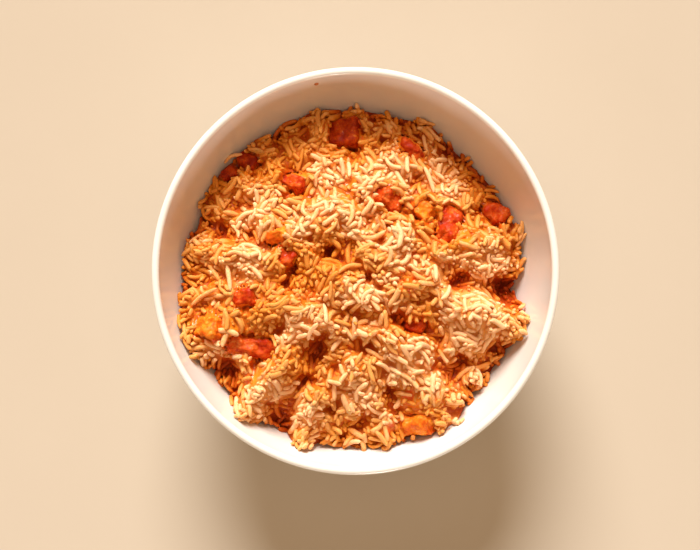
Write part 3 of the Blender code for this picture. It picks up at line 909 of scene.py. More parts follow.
@dataclass(frozen=True)
class TomatoPiece:
    """One diced piece: the solid's own block, softened and wrinkled by cooking."""

    number: int
    cut: Cut
    voxel: float = 0.38
    softness: float = 0.5
    soften: int = 12
    wrinkle: float = 0.7
    wrinkle_size: float = 2.4
    wrinkle_mean: float = 0.45
    dent: float = 1.7
    dent_size: float = 4.5
    taut: float = 0.4

    @property
    def node(self) -> str:
        """The name of the solid that the piece stands for."""
        return f"Tomato_{self.number:02d}"

    def build(self, material: bpy.types.Material) -> bpy.types.Object:
        """Copies the solid, remeshes it finely and moves its points.

        Args:
            material: The finish.

        Returns:
            The piece.
        """
        work = bmesh.new()
        work.from_mesh(frame["nodes"][self.node].data)
        bmesh.ops.remove_doubles(work, verts=work.verts, dist=1e-6)
        mesh = bpy.data.meshes.new(self.node)
        work.to_mesh(mesh)
        work.free()
        item = new_object(f"Diced_{self.node}", mesh)
        remesh = item.modifiers.new("Fine", "REMESH")
        remesh.mode = "VOXEL"
        remesh.voxel_size = self.voxel * MM
        smooth = item.modifiers.new("Soft", "SMOOTH")
        smooth.factor = self.softness
        smooth.iterations = self.soften
        baked(item)
        self.wrinkled(item.data)
        item.data.shade_smooth()
        return dress(item, material, "tomato_flesh", self.node)

    def wrinkled(self, mesh: bpy.types.Mesh) -> None:
        """Moves the points in and out along their normals.

        Args:
            mesh: The mesh, in metres.
        """
        shift = Vector((self.number * 7.1, self.number * 3.3, 0.0))
        share = self.taut if self.cut is Cut.SKIN else 1.0
        moves = []
        for vert in mesh.vertices:
            place = vert.co / (self.wrinkle_size * MM) + shift
            fold = noise.turbulence(place, 3, False) - self.wrinkle_mean
            dent = noise.noise(vert.co / (self.dent_size * MM) + shift)
            moves.append(vert.co + vert.normal * (fold * self.wrinkle + dent * self.dent) * share * MM)
        for vert, moved in zip(mesh.vertices, moves):
            vert.co = moved


TOMATO_CUTS = dict.fromkeys(range(1, 17), Cut.FLESH)
# Pieces 1, 3 and 4 lie in the bowl's shadow at the back; their darker skin colours are partly painted shade.
TOMATO_CUTS.update(dict.fromkeys((1, 3, 4), Cut.SKIN))
TOMATO_CUTS.update(dict.fromkeys((10, 13, 15, 16), Cut.PEACH))


@dataclass(frozen=True)
class SauceSpeck:
    """A small dried speck of sauce on the bowl's inner wall, in millimetres."""

    bowl: Bowl
    x: float = -15.0
    depth: float = 6.4
    length: float = 1.2
    width: float = 0.85
    thickness: float = 0.3
    lump_rise: float = 0.25
    lump_turns: float = 1.7
    sides: int = 18
    rings: int = 12

    def build(self, material: bpy.types.Material) -> bpy.types.Object:
        """Makes a low, lumpy dome that sits in the wall's surface.

        Args:
            material: The finish.

        Returns:
            The piece.
        """
        radius = float(self.bowl.inner_radius(self.depth))
        below = float(self.bowl.inner_radius(self.depth + 1.0))
        up = Vector((0.0, 0.0, 1.0))
        middle = Vector((self.x, math.sqrt(radius**2 - self.x**2), self.bowl.height - self.depth))
        inward = Vector((-middle.x / radius, -middle.y / radius, 0.0))
        down = (inward * (radius - below) - up).normalized()
        across = inward.cross(up)
        out = across.cross(down)
        out = out if out.dot(inward) > 0 else -out
        points = []
        for ring in range(1, self.rings):
            rise = math.pi * ring / self.rings
            for turn in map(float, headings(self.sides)):
                bent = Vector((math.cos(turn), math.sin(turn), rise)) * self.lump_turns
                flat = math.sin(rise) * (1.0 + self.lump_rise * noise.noise(bent))
                along, aside = self.length * flat * math.cos(turn), self.width * flat * math.sin(turn)
                lift = self.thickness * math.cos(rise)
                points.append(middle + down * along + across * aside + out * lift)
        points += [middle + out * self.thickness, middle - out * self.thickness]
        return dress(shell("Sauce_Speck", np.array(points), self.sides), material, "tomato_flesh")


# ---- the grains -----------------------------------------------------------------------


class Kind(Enum):
    """The kinds of grain: (name, share, length, width, bow, hook, split), in millimetres."""

    STRAIGHT = ("Grains_Straight", 0.24, 8.2, 2.05, 0.25, 0.0, 0.0)
    BOWED = ("Grains_Bowed", 0.26, 8.8, 2.0, 1.1, 0.3, 0.0)
    HOOKED = ("Grains_Hooked", 0.16, 8.4, 1.95, 1.9, 1.2, 0.0)
    SPLIT = ("Grains_Split", 0.14, 8.0, 2.25, 0.5, 0.2, 1.2)
    BROKEN = ("Grains_Broken", 0.20, 4.8, 2.05, 0.2, 0.1, 0.0)

    def __init__(self, *sizes: Union[str, float]) -> None:
        """Names the parts of the kind's row.

        Args:
            sizes: The piece's name, the kind's share of all grains, the length, the width at
                the middle, how far the middle stands off the line between the ends, how far
                one end turns away more than the other, and the depth of the cleft in one end.
        """
        self.label, self.share, self.length, self.width, self.bow, self.hook, self.split = sizes

    def spine(self, count: int) -> np.ndarray:
        """Points along the grain's middle line, flat, from end to end.

        Args:
            count: How many points.

        Returns:
            Rows of (along, aside).
        """
        along = np.linspace(-1.0, 1.0, count)
        aside = self.bow * (1.0 - along**2 - 2.0 / 3.0) + self.hook * 0.5 * (along**3 - 0.6 * along)
        return np.stack([along * (self.length - self.width * 0.6) / 2, aside], 1)

    def girth(self, count: int) -> np.ndarray:
        """The grain's half width at so many points from end to end."""
        along = np.linspace(-0.9, 0.9, count)
        return self.width / 2 * np.sqrt(1.0 - np.abs(along) ** 5.0)


class Laid(NamedTuple):
    """A grain in its place: its middle, its turns, its size against its kind's, and its paleness."""

    kind: Kind
    middle: Place
    heading: float
    pitch: float
    roll: float
    long: float
    wide: float
    pale: float = 0.0

    def axes(self) -> Matrix:
        """The grain's axes: X along it, Z out of the side that it lies on."""
        spin, tilt = Matrix.Rotation(self.heading, 3, "Z"), Matrix.Rotation(-self.pitch, 3, "Y")
        return spin @ tilt @ Matrix.Rotation(self.roll, 3, "X")


class Rest(NamedTuple):
    """How grains would rest: each middle's height and slope, how far over the limit, how well."""

    middle: np.ndarray
    slope: np.ndarray
    over: np.ndarray
    score: np.ndarray


class Pale(NamedTuple):
    """A round patch of paler or, with a negative share, darker grains: painted light on lit clumps, stain by
    the tomato, and painted shade in hollows and in the bowl's shadow at the back.
    """

    x: float
    y: float
    share: float
    radius: float


# Paler patches on lit clump ridges are partly painted light; darker ones round the tomato are stain, and
# those in the hollows and along the back edge, in the bowl's shadow, are painted shade.
PATCHES = [
    Pale(*row)
    for row in (
        (-4, 42, 0.45, 9), (8, 33, 0.38, 9), (36, 33, 0.45, 8), (-27, 18, 0.45, 9),
        (-8, 24, 0.3, 7), (-43, 5, 0.38, 8), (18, 14, 0.38, 7), (10, 8, 0.3, 6), (30, 3, 0.38, 7),
        (1, -8, 0.42, 8), (-19, -17, 0.3, 8), (18, -30, 0.27, 9), (48, -19, 0.24, 9),
        (12, 28, -0.39, 6), (27, 24, -0.39, 7), (36, 18, -0.39, 7), (-3, 28, -0.28, 5),
        (-30, 12, -0.33, 6), (-27, 5, -0.39, 6), (-43, -10, -0.33, 6), (-58, -20, -0.39, 8),
        (-40, -29, -0.33, 8), (-24, 35, -0.33, 7), (21, -50, -0.28, 7), (-39, -40, -0.22, 6),
        (20, -4, -0.15, 5), (-50, 38, -0.28, 9), (0, 54, -0.28, 12), (40, 46, -0.22, 10),
        (-20, 56, -0.4, 9), (-34, 48, -0.4, 9), (-46, 40, -0.3, 8), (22, 55, -0.3, 9),
        (52, 38, -0.35, 9), (62, 22, -0.35, 8), (-60, 24, -0.3, 8), (-23, -3, -0.6, 7),
        (-8, 6, -0.6, 7), (0, 0, -0.35, 5), (-3, -17, -0.5, 6), (24, -20, -0.25, 6),
        (-15, -33, -0.6, 8), (31, -28, -0.35, 5), (40, -37, -0.35, 6), (26, 8, -0.4, 6),
        (41, -4, -0.15, 5), (60, -9, -0.4, 6), (-47, 26, -0.35, 6), (53, 2, 0.3, 8),
        (44, -16, 0.25, 8), (-62, -8, 0.25, 7), (0, 49, -0.7, 9), (-22, 44, -0.8, 10),
        (-38, 34, -0.2, 7), (31, 20, -0.75, 8), (39, 13, -0.3, 6), (20, 34, 0.35, 7),
        (-36, 20, 0.3, 7), (36, 1, 0.55, 7), (19, -13, 0.4, 6), (18, -35, 0.5, 7),
        (43, -27, 0.5, 8), (51, -33, 0.5, 8), (-11, -21, 0.4, 6), (-21, -33, -0.45, 7),
        (-24, 0, -0.4, 6), (-11, 12, -0.25, 5), (0, -46, 0.5, 8), (2, -59, -0.45, 6),
        (31, -52, -0.45, 6), (-52, -30, 0.75, 8), (-31, -50, 0.75, 8), (52, -30, 0.3, 7),
        (20, -14, 0.3, 6),
    )
]


class Pool(NamedTuple):
    """A place where soft tomato pulp comes up between the grains."""

    x: float
    y: float
    rise: float
    radius: float


POOLS = [
    Pool(*row)
    for row in (
        (12, 28, 0.83, 4.5), (27, 24, 1.4, 5.5), (36, 18, 1.5, 5.5), (42, 13, 0.88, 4.5),
        (-3, 28, 0.72, 3.5), (-30, 12, 0.94, 5.0), (-27, 4, 0.66, 3.5), (-43, -10, 0.77, 4.0),
        (-58, -20, 1.3, 6.0), (-40, -29, 1.2, 6.0), (-48, -24, 0.72, 5.0), (-24, 35, 0.77, 4.0),
        (-18, 30, 0.55, 3.0), (23, -21, 0.72, 4.0), (-2, 34, 0.55, 3.0), (21, -50, 0.77, 4.5),
        (14, -60, 0.66, 4.0), (-39, -40, 0.61, 4.0), (20, -5, 0.66, 4.0), (20, 47, 0.66, 4.0),
        (53, 22, 0.77, 4.0), (-52, 38, 0.66, 5.0), (-8, 55, 0.66, 6.0), (33, -31, 0.55, 4.0),
    )
]


class SeenGrain(NamedTuple):
    """A grain that stands out on top, from end to end, and how much paler than its place it is."""

    kind: Kind
    from_x: float
    from_y: float
    to_x: float
    to_y: float
    pale: float
    turned: bool = False


SEEN_GRAINS = [
    SeenGrain(*row)
    for row in (
        (Kind.STRAIGHT, 27.1, 40.9, 30.9, 30.3, 0.4), (Kind.STRAIGHT, -5.6, 44.0, -4.4, 36.4, 0.5),
        (Kind.STRAIGHT, -2.6, 43.2, -2.2, 35.6, 0.5), (Kind.HOOKED, -7.0, 0.0, 2.8, 3.0, 0.2),
        (Kind.STRAIGHT, -12.0, -12.1, -10.8, -19.7, 0.5),
        (Kind.STRAIGHT, 30.4, 3.0, 30.9, -3.8, 0.5),
        (Kind.BOWED, 32.4, -12.1, 37.7, -4.5, 0.3, True),
        (Kind.BOWED, -64.6, -13.6, -53.2, -6.1, 0.2),
        (Kind.STRAIGHT, -49.5, 3.0, -47.9, -7.6, 0.3),
        (Kind.BROKEN, 62.7, -22.7, 67.0, -24.5, 0.3), (Kind.BROKEN, 12.0, -43.6, 16.4, -42.8, 0.6),
        (Kind.BROKEN, -11.4, -42.2, -4.9, -43.2, 0.3),
        (Kind.STRAIGHT, -8.4, -43.2, -8.0, -50.0, 0.2),
        (Kind.BOWED, -45.7, 36.4, -51.7, 29.6, 0.35), (Kind.BROKEN, 21.0, 22.7, 22.5, 18.2, 0.6),
        (Kind.STRAIGHT, 10.9, -36.0, 18.4, -39.9, 0.4),
        (Kind.STRAIGHT, 3.8, -29.8, 11.0, -33.9, 0.4),
        (Kind.STRAIGHT, 12.9, -31.3, 20.2, -35.4, 0.4), (Kind.BOWED, 7.8, -34.6, 14.0, -38.6, 0.3),
        (Kind.STRAIGHT, -21.0, -20.2, -12.8, -24.6, 0.35),
        (Kind.BOWED, -18.9, -26.5, -14.2, -19.0, 0.35),
        (Kind.BROKEN, -23.0, -25.5, -18.0, -24.0, 0.35),
    )
]


@dataclass
class Pile:
    """Grains laid one by one on a height map until they reach the heap's form, in millimetres."""

    heap: Heap
    blocks: list[bpy.types.Object]
    seed: int = 11
    step: float = 0.4
    half: float = 80.0
    cover: float = 3.0
    rise: float = 1.5
    slack: float = 1.1
    sky_slack: float = 0.6
    edge_room: float = 1.0
    wall_near: float = 4.0
    wall_over: float = 2.8
    clump_scale: tuple[float, float, float] = (0.7, 1.05, 1.25)
    bump_size: float = 1.8
    bump_rise: float = 1.5
    bump_clip: Span = (-2.0, 1.2)
    ragged_size: float = 1.5
    dig: float = 4.6
    pit: float = 3.6
    block_shown: float = 2.2
    drops: int = 9000
    fringes: int = 2200
    draws: int = 90
    candidates: int = 7
    samples: int = 9
    line_samples: int = 22
    stuck_share: float = 0.38
    worst_score: float = -1.2
    broken_size: Span = (0.55, 1.05)
    whole_size: Span = (0.72, 1.25)
    whole_spread: float = 0.12
    wide_size: Span = (0.85, 1.08)
    wide_spread: Span = (0.88, 1.1)
    roll_spread: float = 0.45
    heading_spread: float = 1.1
    tilt_spread: float = 0.16
    sink: Span = (0.1, 0.35)
    stuck_pitch: Span = (0.35, 1.25)
    stuck_tip: Span = (-0.6, 0.9)
    stuck_proud: Span = (0.6, 4.5)
    stuck_afloat: float = 0.4
    fringe_pitch: Span = (-0.1, 0.55)
    fringe_lift: Span = (-0.2, 0.5)
    fringe_drop: Span = (1.2, 6.0)
    fringe_bury: Span = (-0.3, 3.0)
    fringe_tail: float = 0.7
    seen_width: float = 0.88
    seen_sink: float = 0.5
    seen_pale: float = 0.7
    press: float = 0.5
    least_cells: int = 11
    blur: float = 8.0
    # proud, deepest and side_reach set how the deep and side attributes paint shade.
    proud: float = 0.8
    deepest: float = 7.0
    gum_blur: float = 1.0
    gum_sink: float = 0.95
    side_reach: float = 2.2
    patched: float = 1.3
    laid: list[Laid] = field(default_factory=list)

    def __post_init__(self) -> None:
        """Prepares the maps of the ground, of the goal and of how high grains may reach."""
        self.random = np.random.default_rng(self.seed)
        self.line = np.linspace(-self.half, self.half, int(2 * self.half / self.step) + 1)
        self.x, self.y = np.meshgrid(self.line, self.line, indexing="ij")
        bare = self.heap.height(self.x, self.y)
        goal = bare + self.rise - self.valleys()
        goal += self.heap.large_clumps(self.x, self.y, *self.clump_scale)
        goal -= self.heap.large_clumps(self.x, self.y, 1.0, 1.0, 1.0)
        goal = goal + self.bump_rise * np.clip(self.clouds(self.bump_size), *self.bump_clip)
        wall = self.wall_height(np.hypot(self.x, self.y))
        near = wall < goal + self.wall_near
        self.open = wall < goal - self.edge_room
        self.top = np.maximum(np.where(self.open, goal - self.rise - self.cover, wall), wall)
        self.goal = np.where(self.open, goal, NOWHERE)
        at_wall = np.where(near, wall + self.wall_over, NOWHERE)
        self.limit = np.where(self.open, goal + self.slack, at_wall)
        self.skyline = np.where(near, bare + self.rise + self.slack + self.sky_slack, NOWHERE)
        self.mark = np.full(self.x.shape, -1)
        self.ragged = self.clouds(self.ragged_size)
        self.blocked = np.zeros(self.x.shape, bool)
        for number, block in enumerate(self.blocks):
            self.lay_block(number, block)

    def clouds(self, width: float) -> np.ndarray:
        """Smooth noise over the map in patches of a width, with a mean near 0 and a spread of 1."""
        cloud = blurred(self.random.normal(0.0, 1.0, self.x.shape), width / self.step)
        return cloud / cloud.std()

    def valleys(self) -> np.ndarray:
        """How deep the gaps between the small clumps are, deepest where three clumps meet."""
        x, y = self.x, self.y
        cap = np.full(x.shape, -1.0)
        for _, dome in self.heap.small_clumps(x, y):
            cap = np.maximum(cap, dome)
        gap = np.clip((0.5 - cap) / 0.5, 0.0, 1.0)
        uneven = 0.7 + 0.5 * np.sin(x / 7.0 + 2.0) * np.cos(y / 9.0) + 0.3 * np.sin((x - y) / 5.0)
        pit = np.clip(-cap / 0.25, 0.0, 1.0)
        return self.dig * gap * gap * (3.0 - 2.0 * gap) * np.clip(uneven, 0.1, 1.4) + self.pit * pit

    def wall_height(self, radius: np.ndarray) -> np.ndarray:
        """The bowl's inner surface as a height over each radius.

        Args:
            radius: Distances from the middle.

        Returns:
            The height there; outside the rim it is very high.
        """
        bowl = self.heap.bowl
        depths = np.linspace(0.0, bowl.inner_depth, 400)[::-1]
        floor = bowl.height - bowl.inner_depth
        return np.interp(radius, bowl.inner_radius(depths), bowl.height - depths, left=floor, right=200.0)

    def cell(self, x: Number, y: Number) -> tuple[np.ndarray, np.ndarray]:
        """The row and the column of the map's cell at each place."""
        places = ((axis + self.half) / self.step for axis in (x, y))
        return tuple(np.clip(np.rint(place).astype(int), 0, len(self.line) - 1) for place in places)

    def lay_block(self, number: int, block: bpy.types.Object) -> None:
        """Puts a piece of tomato into the maps, and keeps grains off its middle.

        Args:
            number: Its number, which says from which side rice lies over it.
            block: The piece.
        """
        points = mesh_points(block)
        shape = np.full(self.top.shape, NOWHERE)
        np.maximum.at(shape, self.cell(points[:, 0], points[:, 1]), points[:, 2])
        shape = spread(shape, 1)
        covered = shape > NOWHERE
        shown = covered & (shape > self.top)
        self.top[shown] = shape[shown]
        self.blocked |= spread(shown, 1)
        heading = 2.4 * number + 0.6
        x, y = points[:, 0].mean(), points[:, 1].mean()
        past = (self.x - x) * math.cos(heading) + (self.y - y) * math.sin(heading)
        middle = ~spread(~covered, 3) & shown & (past + 0.8 * self.ragged < self.block_shown)
        self.goal[covered] = shape[covered] + 0.6
        self.goal[middle] = NOWHERE
        self.limit[covered] = shape[covered] + 2.0
        self.limit[middle] = shape[middle] + 0.3

    def flow(self, x: np.ndarray, y: np.ndarray) -> np.ndarray:
        """The heading that neighbouring grains share at each place, in radians."""
        return 1.6 * np.sin(x / 9.0 + 1.1) + 1.6 * np.cos(y / 8.0 - x / 17.0) + 0.8 * np.sin((x + y) / 5.0)

    def draw(self) -> tuple[Kind, float, np.ndarray, np.ndarray]:
        """Draws a kind by its share, a size against it, and the places that lack rice most."""
        kinds = list(Kind)
        kind = kinds[self.random.choice(len(kinds), p=[kind.share for kind in kinds])]
        if kind is Kind.BROKEN:
            scale = float(self.random.uniform(*self.broken_size))
        else:
            scale = float(np.clip(self.random.normal(1.0, self.whole_spread), *self.whole_size))
        reach = self.heap.bowl.rim_radius * np.sqrt(self.random.uniform(0.0, 0.9, self.draws))
        around = self.random.uniform(0.0, math.tau, self.draws)
        x, y = reach * np.cos(around), reach * np.sin(around)
        cells = self.cell(x, y)
        best = np.argsort(self.top[cells] - self.goal[cells])[: self.candidates]
        return kind, scale, x[best], y[best]

    def rest(self, kind: Kind, scale: float, x: np.ndarray, y: np.ndarray, heading: np.ndarray) -> Rest:
        """How grains would rest on the ground at several places.

        Args:
            kind: The kind of grain.
            scale: The grain's size against its kind's.
            x: Places to the right.
            y: Places to the back.
            heading: Headings in radians.

        Returns:
            How each would rest.
        """
        spine = kind.spine(self.samples) * scale
        girth = kind.girth(self.samples) * scale
        run = spine[:, 0]
        cos, sin = np.cos(heading)[:, None], np.sin(heading)[:, None]
        grounds = []
        for side in (-0.4, 0.0, 0.4):
            across = spine[:, 1] + side * girth
            cells = self.cell(x[:, None] + run * cos - across * sin, y[:, None] + run * sin + across * cos)
            grounds.append(self.top[cells])
        ground = np.max(grounds, axis=0) + girth * 0.9
        left, right = slice(0, self.samples // 2), slice(self.samples // 2 + 1, self.samples)
        span = run[None, right] - run[left, None]
        near, far = ground[:, left, None], ground[:, None, right]
        value = (near * run[None, None, right] - far * run[None, left, None]) / span
        flat = value.reshape(len(x), -1).argmax(axis=1)
        slopes = ((far - near) / span).reshape(len(x), -1)
        slope = np.clip(slopes[range(len(x)), flat], -1.1, 1.1)
        middle = (ground - slope[:, None] * run).max(axis=1)
        cells = self.cell(x[:, None] + run * cos, y[:, None] + run * sin)
        line = middle[:, None] + slope[:, None] * run
        over = (line + girth - self.limit[cells]).max(axis=1)
        lack = np.clip(self.goal[cells] - self.top[cells], -2.0, 8.0).mean(axis=1)
        return Rest(middle, slope, over, lack - 0.3 * (line - ground).mean(axis=1))

    def stamp(self, laid: Laid) -> bool:
        """Adds a grain unless it would pass through the bowl, and raises the map by it.

        Args:
            laid: The grain.

        Returns:
            Whether the grain was added.
        """
        spine = laid.kind.spine(self.line_samples) * (laid.long, laid.wide)
        girth = laid.kind.girth(self.line_samples) * laid.wide
        flat = np.stack([spine[:, 0], spine[:, 1], np.zeros(self.line_samples)], 1)
        line = flat @ np.array(laid.axes()).T + laid.middle
        bowl = self.heap.bowl
        depth = np.clip(bowl.height - line[:, 2], 0.0, bowl.inner_depth)
        if (np.hypot(line[:, 0], line[:, 1]) + girth > bowl.inner_radius(depth) + self.press).any():
            return False
        margin = 1.4
        low_row, low_column = self.cell(line[:, 0].min() - margin, line[:, 1].min() - margin)
        top_row, top_column = self.cell(line[:, 0].max() + margin, line[:, 1].max() + margin)
        window = (slice(low_row, top_row + 1), slice(low_column, top_column + 1))
        x, y, height = line.T[:, :, None, None]
        lift = girth[:, None, None] ** 2 - ((self.x[window] - x) ** 2 + (self.y[window] - y) ** 2)
        top = np.where(lift > 0, height + np.sqrt(np.clip(lift, 0, None)), NOWHERE).max(axis=0)
        raised = top > self.top[window]
        self.top[window][raised] = top[raised]
        self.mark[window][raised] = len(self.laid)
        self.laid.append(laid)
        return True

    def keep(self, kind: Kind, scale: float, place: Sequence[float], heading: float, pitch: float) -> bool:
        """Adds a grain with a drawn roll and width.

        Args:
            kind: The kind of grain.
            scale: Its size against its kind's.
            place: Its middle.
            heading: Its heading in radians.
            pitch: How steeply it rises, in radians.

        Returns:
            Whether the grain was added.
        """
        roll = float(self.random.normal(0.0, self.roll_spread))
        roll += math.pi * float(self.random.integers(0, 2))
        wide = float(np.clip(scale, *self.wide_size)) * float(self.random.uniform(*self.wide_spread))
        middle = tuple(float(axis) for axis in place)
        return self.stamp(Laid(kind, middle, float(heading), float(pitch), roll, scale, wide))

    def drop_resting(self) -> bool:
        """Lays one grain on what is below it, where most is lacking; says whether it fitted."""
        kind, scale, x, y = self.draw()
        heading = self.flow(x, y) + self.random.normal(0.0, self.heading_spread, len(x))
        rest = self.rest(kind, scale, x, y, heading)
        score = np.where(rest.over > 0.0, NOWHERE, rest.score)
        best = int(score.argmax())
        if score[best] < self.worst_score:
            return False
        sink = self.random.uniform(*self.sink)
        tilt = float(self.random.normal(0.0, self.tilt_spread))
        place = (x[best], y[best], rest.middle[best] - sink + abs(tilt))
        return self.keep(kind, scale, place, heading[best], math.atan(float(rest.slope[best])) + tilt)

    def drop_stuck(self) -> bool:
        """Sticks one grain steeply into the heap; says whether it fitted."""
        kind, scale, x, y = self.draw()
        heading = self.random.uniform(0.0, math.tau, len(x))
        pitch = self.random.uniform(*self.stuck_pitch, len(x))
        reach = kind.length * scale / 2
        far = reach * np.cos(pitch)
        end = self.cell(x + far * np.cos(heading), y + far * np.sin(heading))
        middle = self.cell(x, y)
        tip = np.minimum(self.goal[end] + self.random.uniform(*self.stuck_tip, len(x)), self.limit[end])
        height = tip - reach * np.sin(pitch)
        proud = tip - self.top[end]
        afloat = height - self.top[middle]
        fits = between(proud, self.stuck_proud) & (afloat < self.stuck_afloat)
        fits &= height + 1.0 < self.limit[middle]
        if not fits.any():
            return False
        best = int(np.where(fits, proud - 0.5 * np.abs(afloat), NOWHERE).argmax())
        return self.keep(kind, scale, (x[best], y[best], height[best]), heading[best], pitch[best])

    def drop_fringe(self) -> bool:
        """Lets one grain stick out of a clump's flank over the gap beside it; says whether it fitted."""
        kind, scale, x, y = self.draw()
        reach = kind.length * scale / 2
        heading = self.random.uniform(0.0, math.tau, len(x))
        pitch = self.random.uniform(*self.fringe_pitch, len(x))
        far, back = reach * np.cos(pitch), self.fringe_tail
        tip = self.cell(x + far * np.cos(heading), y + far * np.sin(heading))
        tail = self.cell(x - back * far * np.cos(heading), y - back * far * np.sin(heading))
        middle = self.cell(x, y)
        height = self.top[middle] + self.random.uniform(*self.fringe_lift, len(x))
        tip_height = height + reach * np.sin(pitch)
        buried = self.top[tail] - (height - back * reach * np.sin(pitch))
        drop = tip_height - self.top[tip]
        fits = between(drop, self.fringe_drop) & between(buried, self.fringe_bury)
        fits &= (tip_height < self.skyline[tip]) & (height < self.skyline[middle])
        if not fits.any():
            return False
        best = int(np.where(fits, drop - 0.3 * np.abs(buried), NOWHERE).argmax())
        return self.keep(kind, scale, (x[best], y[best], height[best]), heading[best], pitch[best])

    def lay_seen(self, grain: SeenGrain) -> None:
        """Lays one grain with a given place and heading on what is below it.

        Args:
            grain: The grain.
        """
        run_x, run_y = grain.to_x - grain.from_x, grain.to_y - grain.from_y
        heading = math.atan2(run_y, run_x)
        x = (grain.from_x + grain.to_x) / 2
        y = (grain.from_y + grain.to_y) / 2
        scale = math.hypot(run_x, run_y) / grain.kind.length
        rest = self.rest(grain.kind, scale, np.array([x]), np.array([y]), np.array([heading]))
        height = min(float(rest.middle[0]) - self.seen_sink, float(self.skyline[self.cell(x, y)]))
        pitch = math.atan(float(rest.slope[0]))
        roll = math.pi if grain.turned else 0.0
        pale = self.seen_pale * grain.pale
        self.stamp(Laid(grain.kind, (x, y, height), heading, pitch, roll, scale, self.seen_width, pale))

    def fill(self) -> None:
        """Drops grains until hardly any more fit, and then lays those that stand out."""
        for _ in range(self.drops):
            if self.random.uniform() < self.stuck_share:
                self.drop_stuck()
            else:
                self.drop_resting()
        for _ in range(self.fringes):
            self.drop_fringe()
        for grain in SEEN_GRAINS:
            self.lay_seen(grain)
        LOG.info("laid %d grains", len(self.laid))

    def soak(self) -> None:
        """Prepares the maps of the sauce: its level, its stains, its pulp and its juice."""
        inside = self.open.astype(float)
        filled = np.where(inside > 0, self.top, 0.0)
        broad, fine = self.blur / self.step, self.gum_blur / self.step
        self.level = blurred(filled, broad) / np.maximum(blurred(inside, broad), 1e-6)
        self.gum = blurred(filled, fine) / np.maximum(blurred(inside, fine), 1e-6) - self.gum_sink
        self.stain = sum(self.clouds(width) for width in (2.2, 4.5)) * 0.75
        self.pulp = np.zeros(self.x.shape)
        ragged = 0.35 * self.clouds(1.2)
        for pool in POOLS:
            away = np.hypot(self.x - pool.x, self.y - pool.y) / pool.radius
            share = np.clip(1.4 - away**2 + ragged, 0.0, 1.0)
            self.pulp = np.maximum(self.pulp, share * pool.rise)
        near, juice = (blurred(self.blocked.astype(float), width / self.step) for width in (1.4, 2.6))
        self.pulp = np.maximum(self.pulp, np.clip(1.5 * near, 0.0, 0.9))
        self.juicy = juice
        self.gum += self.pulp
        self.gum = np.where(self.blocked, np.minimum(self.gum, self.top - 1.2), self.gum)

    def shown(self) -> list[Laid]:
        """The grains that can be seen from above, because enough cells have them topmost."""
        counts = np.bincount(self.mark[self.mark >= 0], minlength=len(self.laid))
        return [self.laid[index] for index in np.flatnonzero(counts >= self.least_cells)]

    def shade(self, item: bpy.types.Object) -> None:
        """Stores numbers from 0 to 1 on a piece: deep, under the heap's skin, side and pulp; deep and side
        drive painted shade in the finishes.

        Args:
            item: The piece.
        """
        points = mesh_points(item)
        cells = self.cell(points[:, 0], points[:, 1])
        deep = (self.level[cells] + self.proud - points[:, 2]) / self.deepest
        side = (self.gum[cells] + self.gum_sink + 0.8 - points[:, 2]) / self.side_reach
        for name, share in (("deep", deep), ("side", side), ("pulp", self.pulp[cells])):
            store(item.data, name, np.clip(share, 0.0, 1.0))

    def paleness(self, x: Number, y: Number) -> Number:
        """How pale the rice is at places, from below 0, deeply stained, to above 1, cream; the patches add
        painted light on lit clumps and painted shade in hollows and at the back edge.

        Args:
            x: Places to the right.
            y: Places to the back.

        Returns:
            The share at each place.
        """
        cell = self.cell(x, y)
        share = 0.47 + 0.29 * self.stain[cell] - 0.45 * self.juicy[cell]
        for patch in PATCHES:
            away = np.hypot(x - patch.x, y - patch.y)
            share = share + self.patched * patch.share * np.exp(-((away / patch.radius) ** 2))
        return share

    def tint(self, laid: Laid) -> float:
        """How pale a grain is, from -1, soaked, over 0, stained, to 1, cream, with the painted light and
        shade of the patches.
        """
        share = float(self.paleness(*laid.middle[:2])) + laid.pale
        return float(np.clip(share + self.random.normal(0.0, 0.10), -1.0, 1.0))


def between(values: np.ndarray, limits: Span) -> np.ndarray:
    """Whether each value lies between two limits."""
    return (values > limits[0]) & (values < limits[1])


def spread(shape: np.ndarray, times: int) -> np.ndarray:
    """Spreads the highest values of a map to their neighbours.

    Args:
        shape: The map.
        times: How many cells far.

    Returns:
        The spread map.
    """
    for _ in range(times):
        padded = np.pad(shape, 1, mode="edge")
        shape = np.maximum.reduce(
            [padded[1:-1, 1:-1], padded[:-2, 1:-1], padded[2:, 1:-1], padded[1:-1, :-2], padded[1:-1, 2:]]
        )
    return shape


def blurred(shape: np.ndarray, width: float) -> np.ndarray:
    """A map with its values averaged over their neighbourhood.

    Args:
        shape: The map.
        width: The width of the bell curve, in cells.

    Returns:
        The smooth map.
    """
    reach = int(3 * width)
    bell = np.exp(-0.5 * (np.arange(-reach, reach + 1) / width) ** 2)
    bell /= bell.sum()
    for axis in (0, 1):
        shape = np.apply_along_axis(np.convolve, axis, shape, bell, mode="same")
    return shape


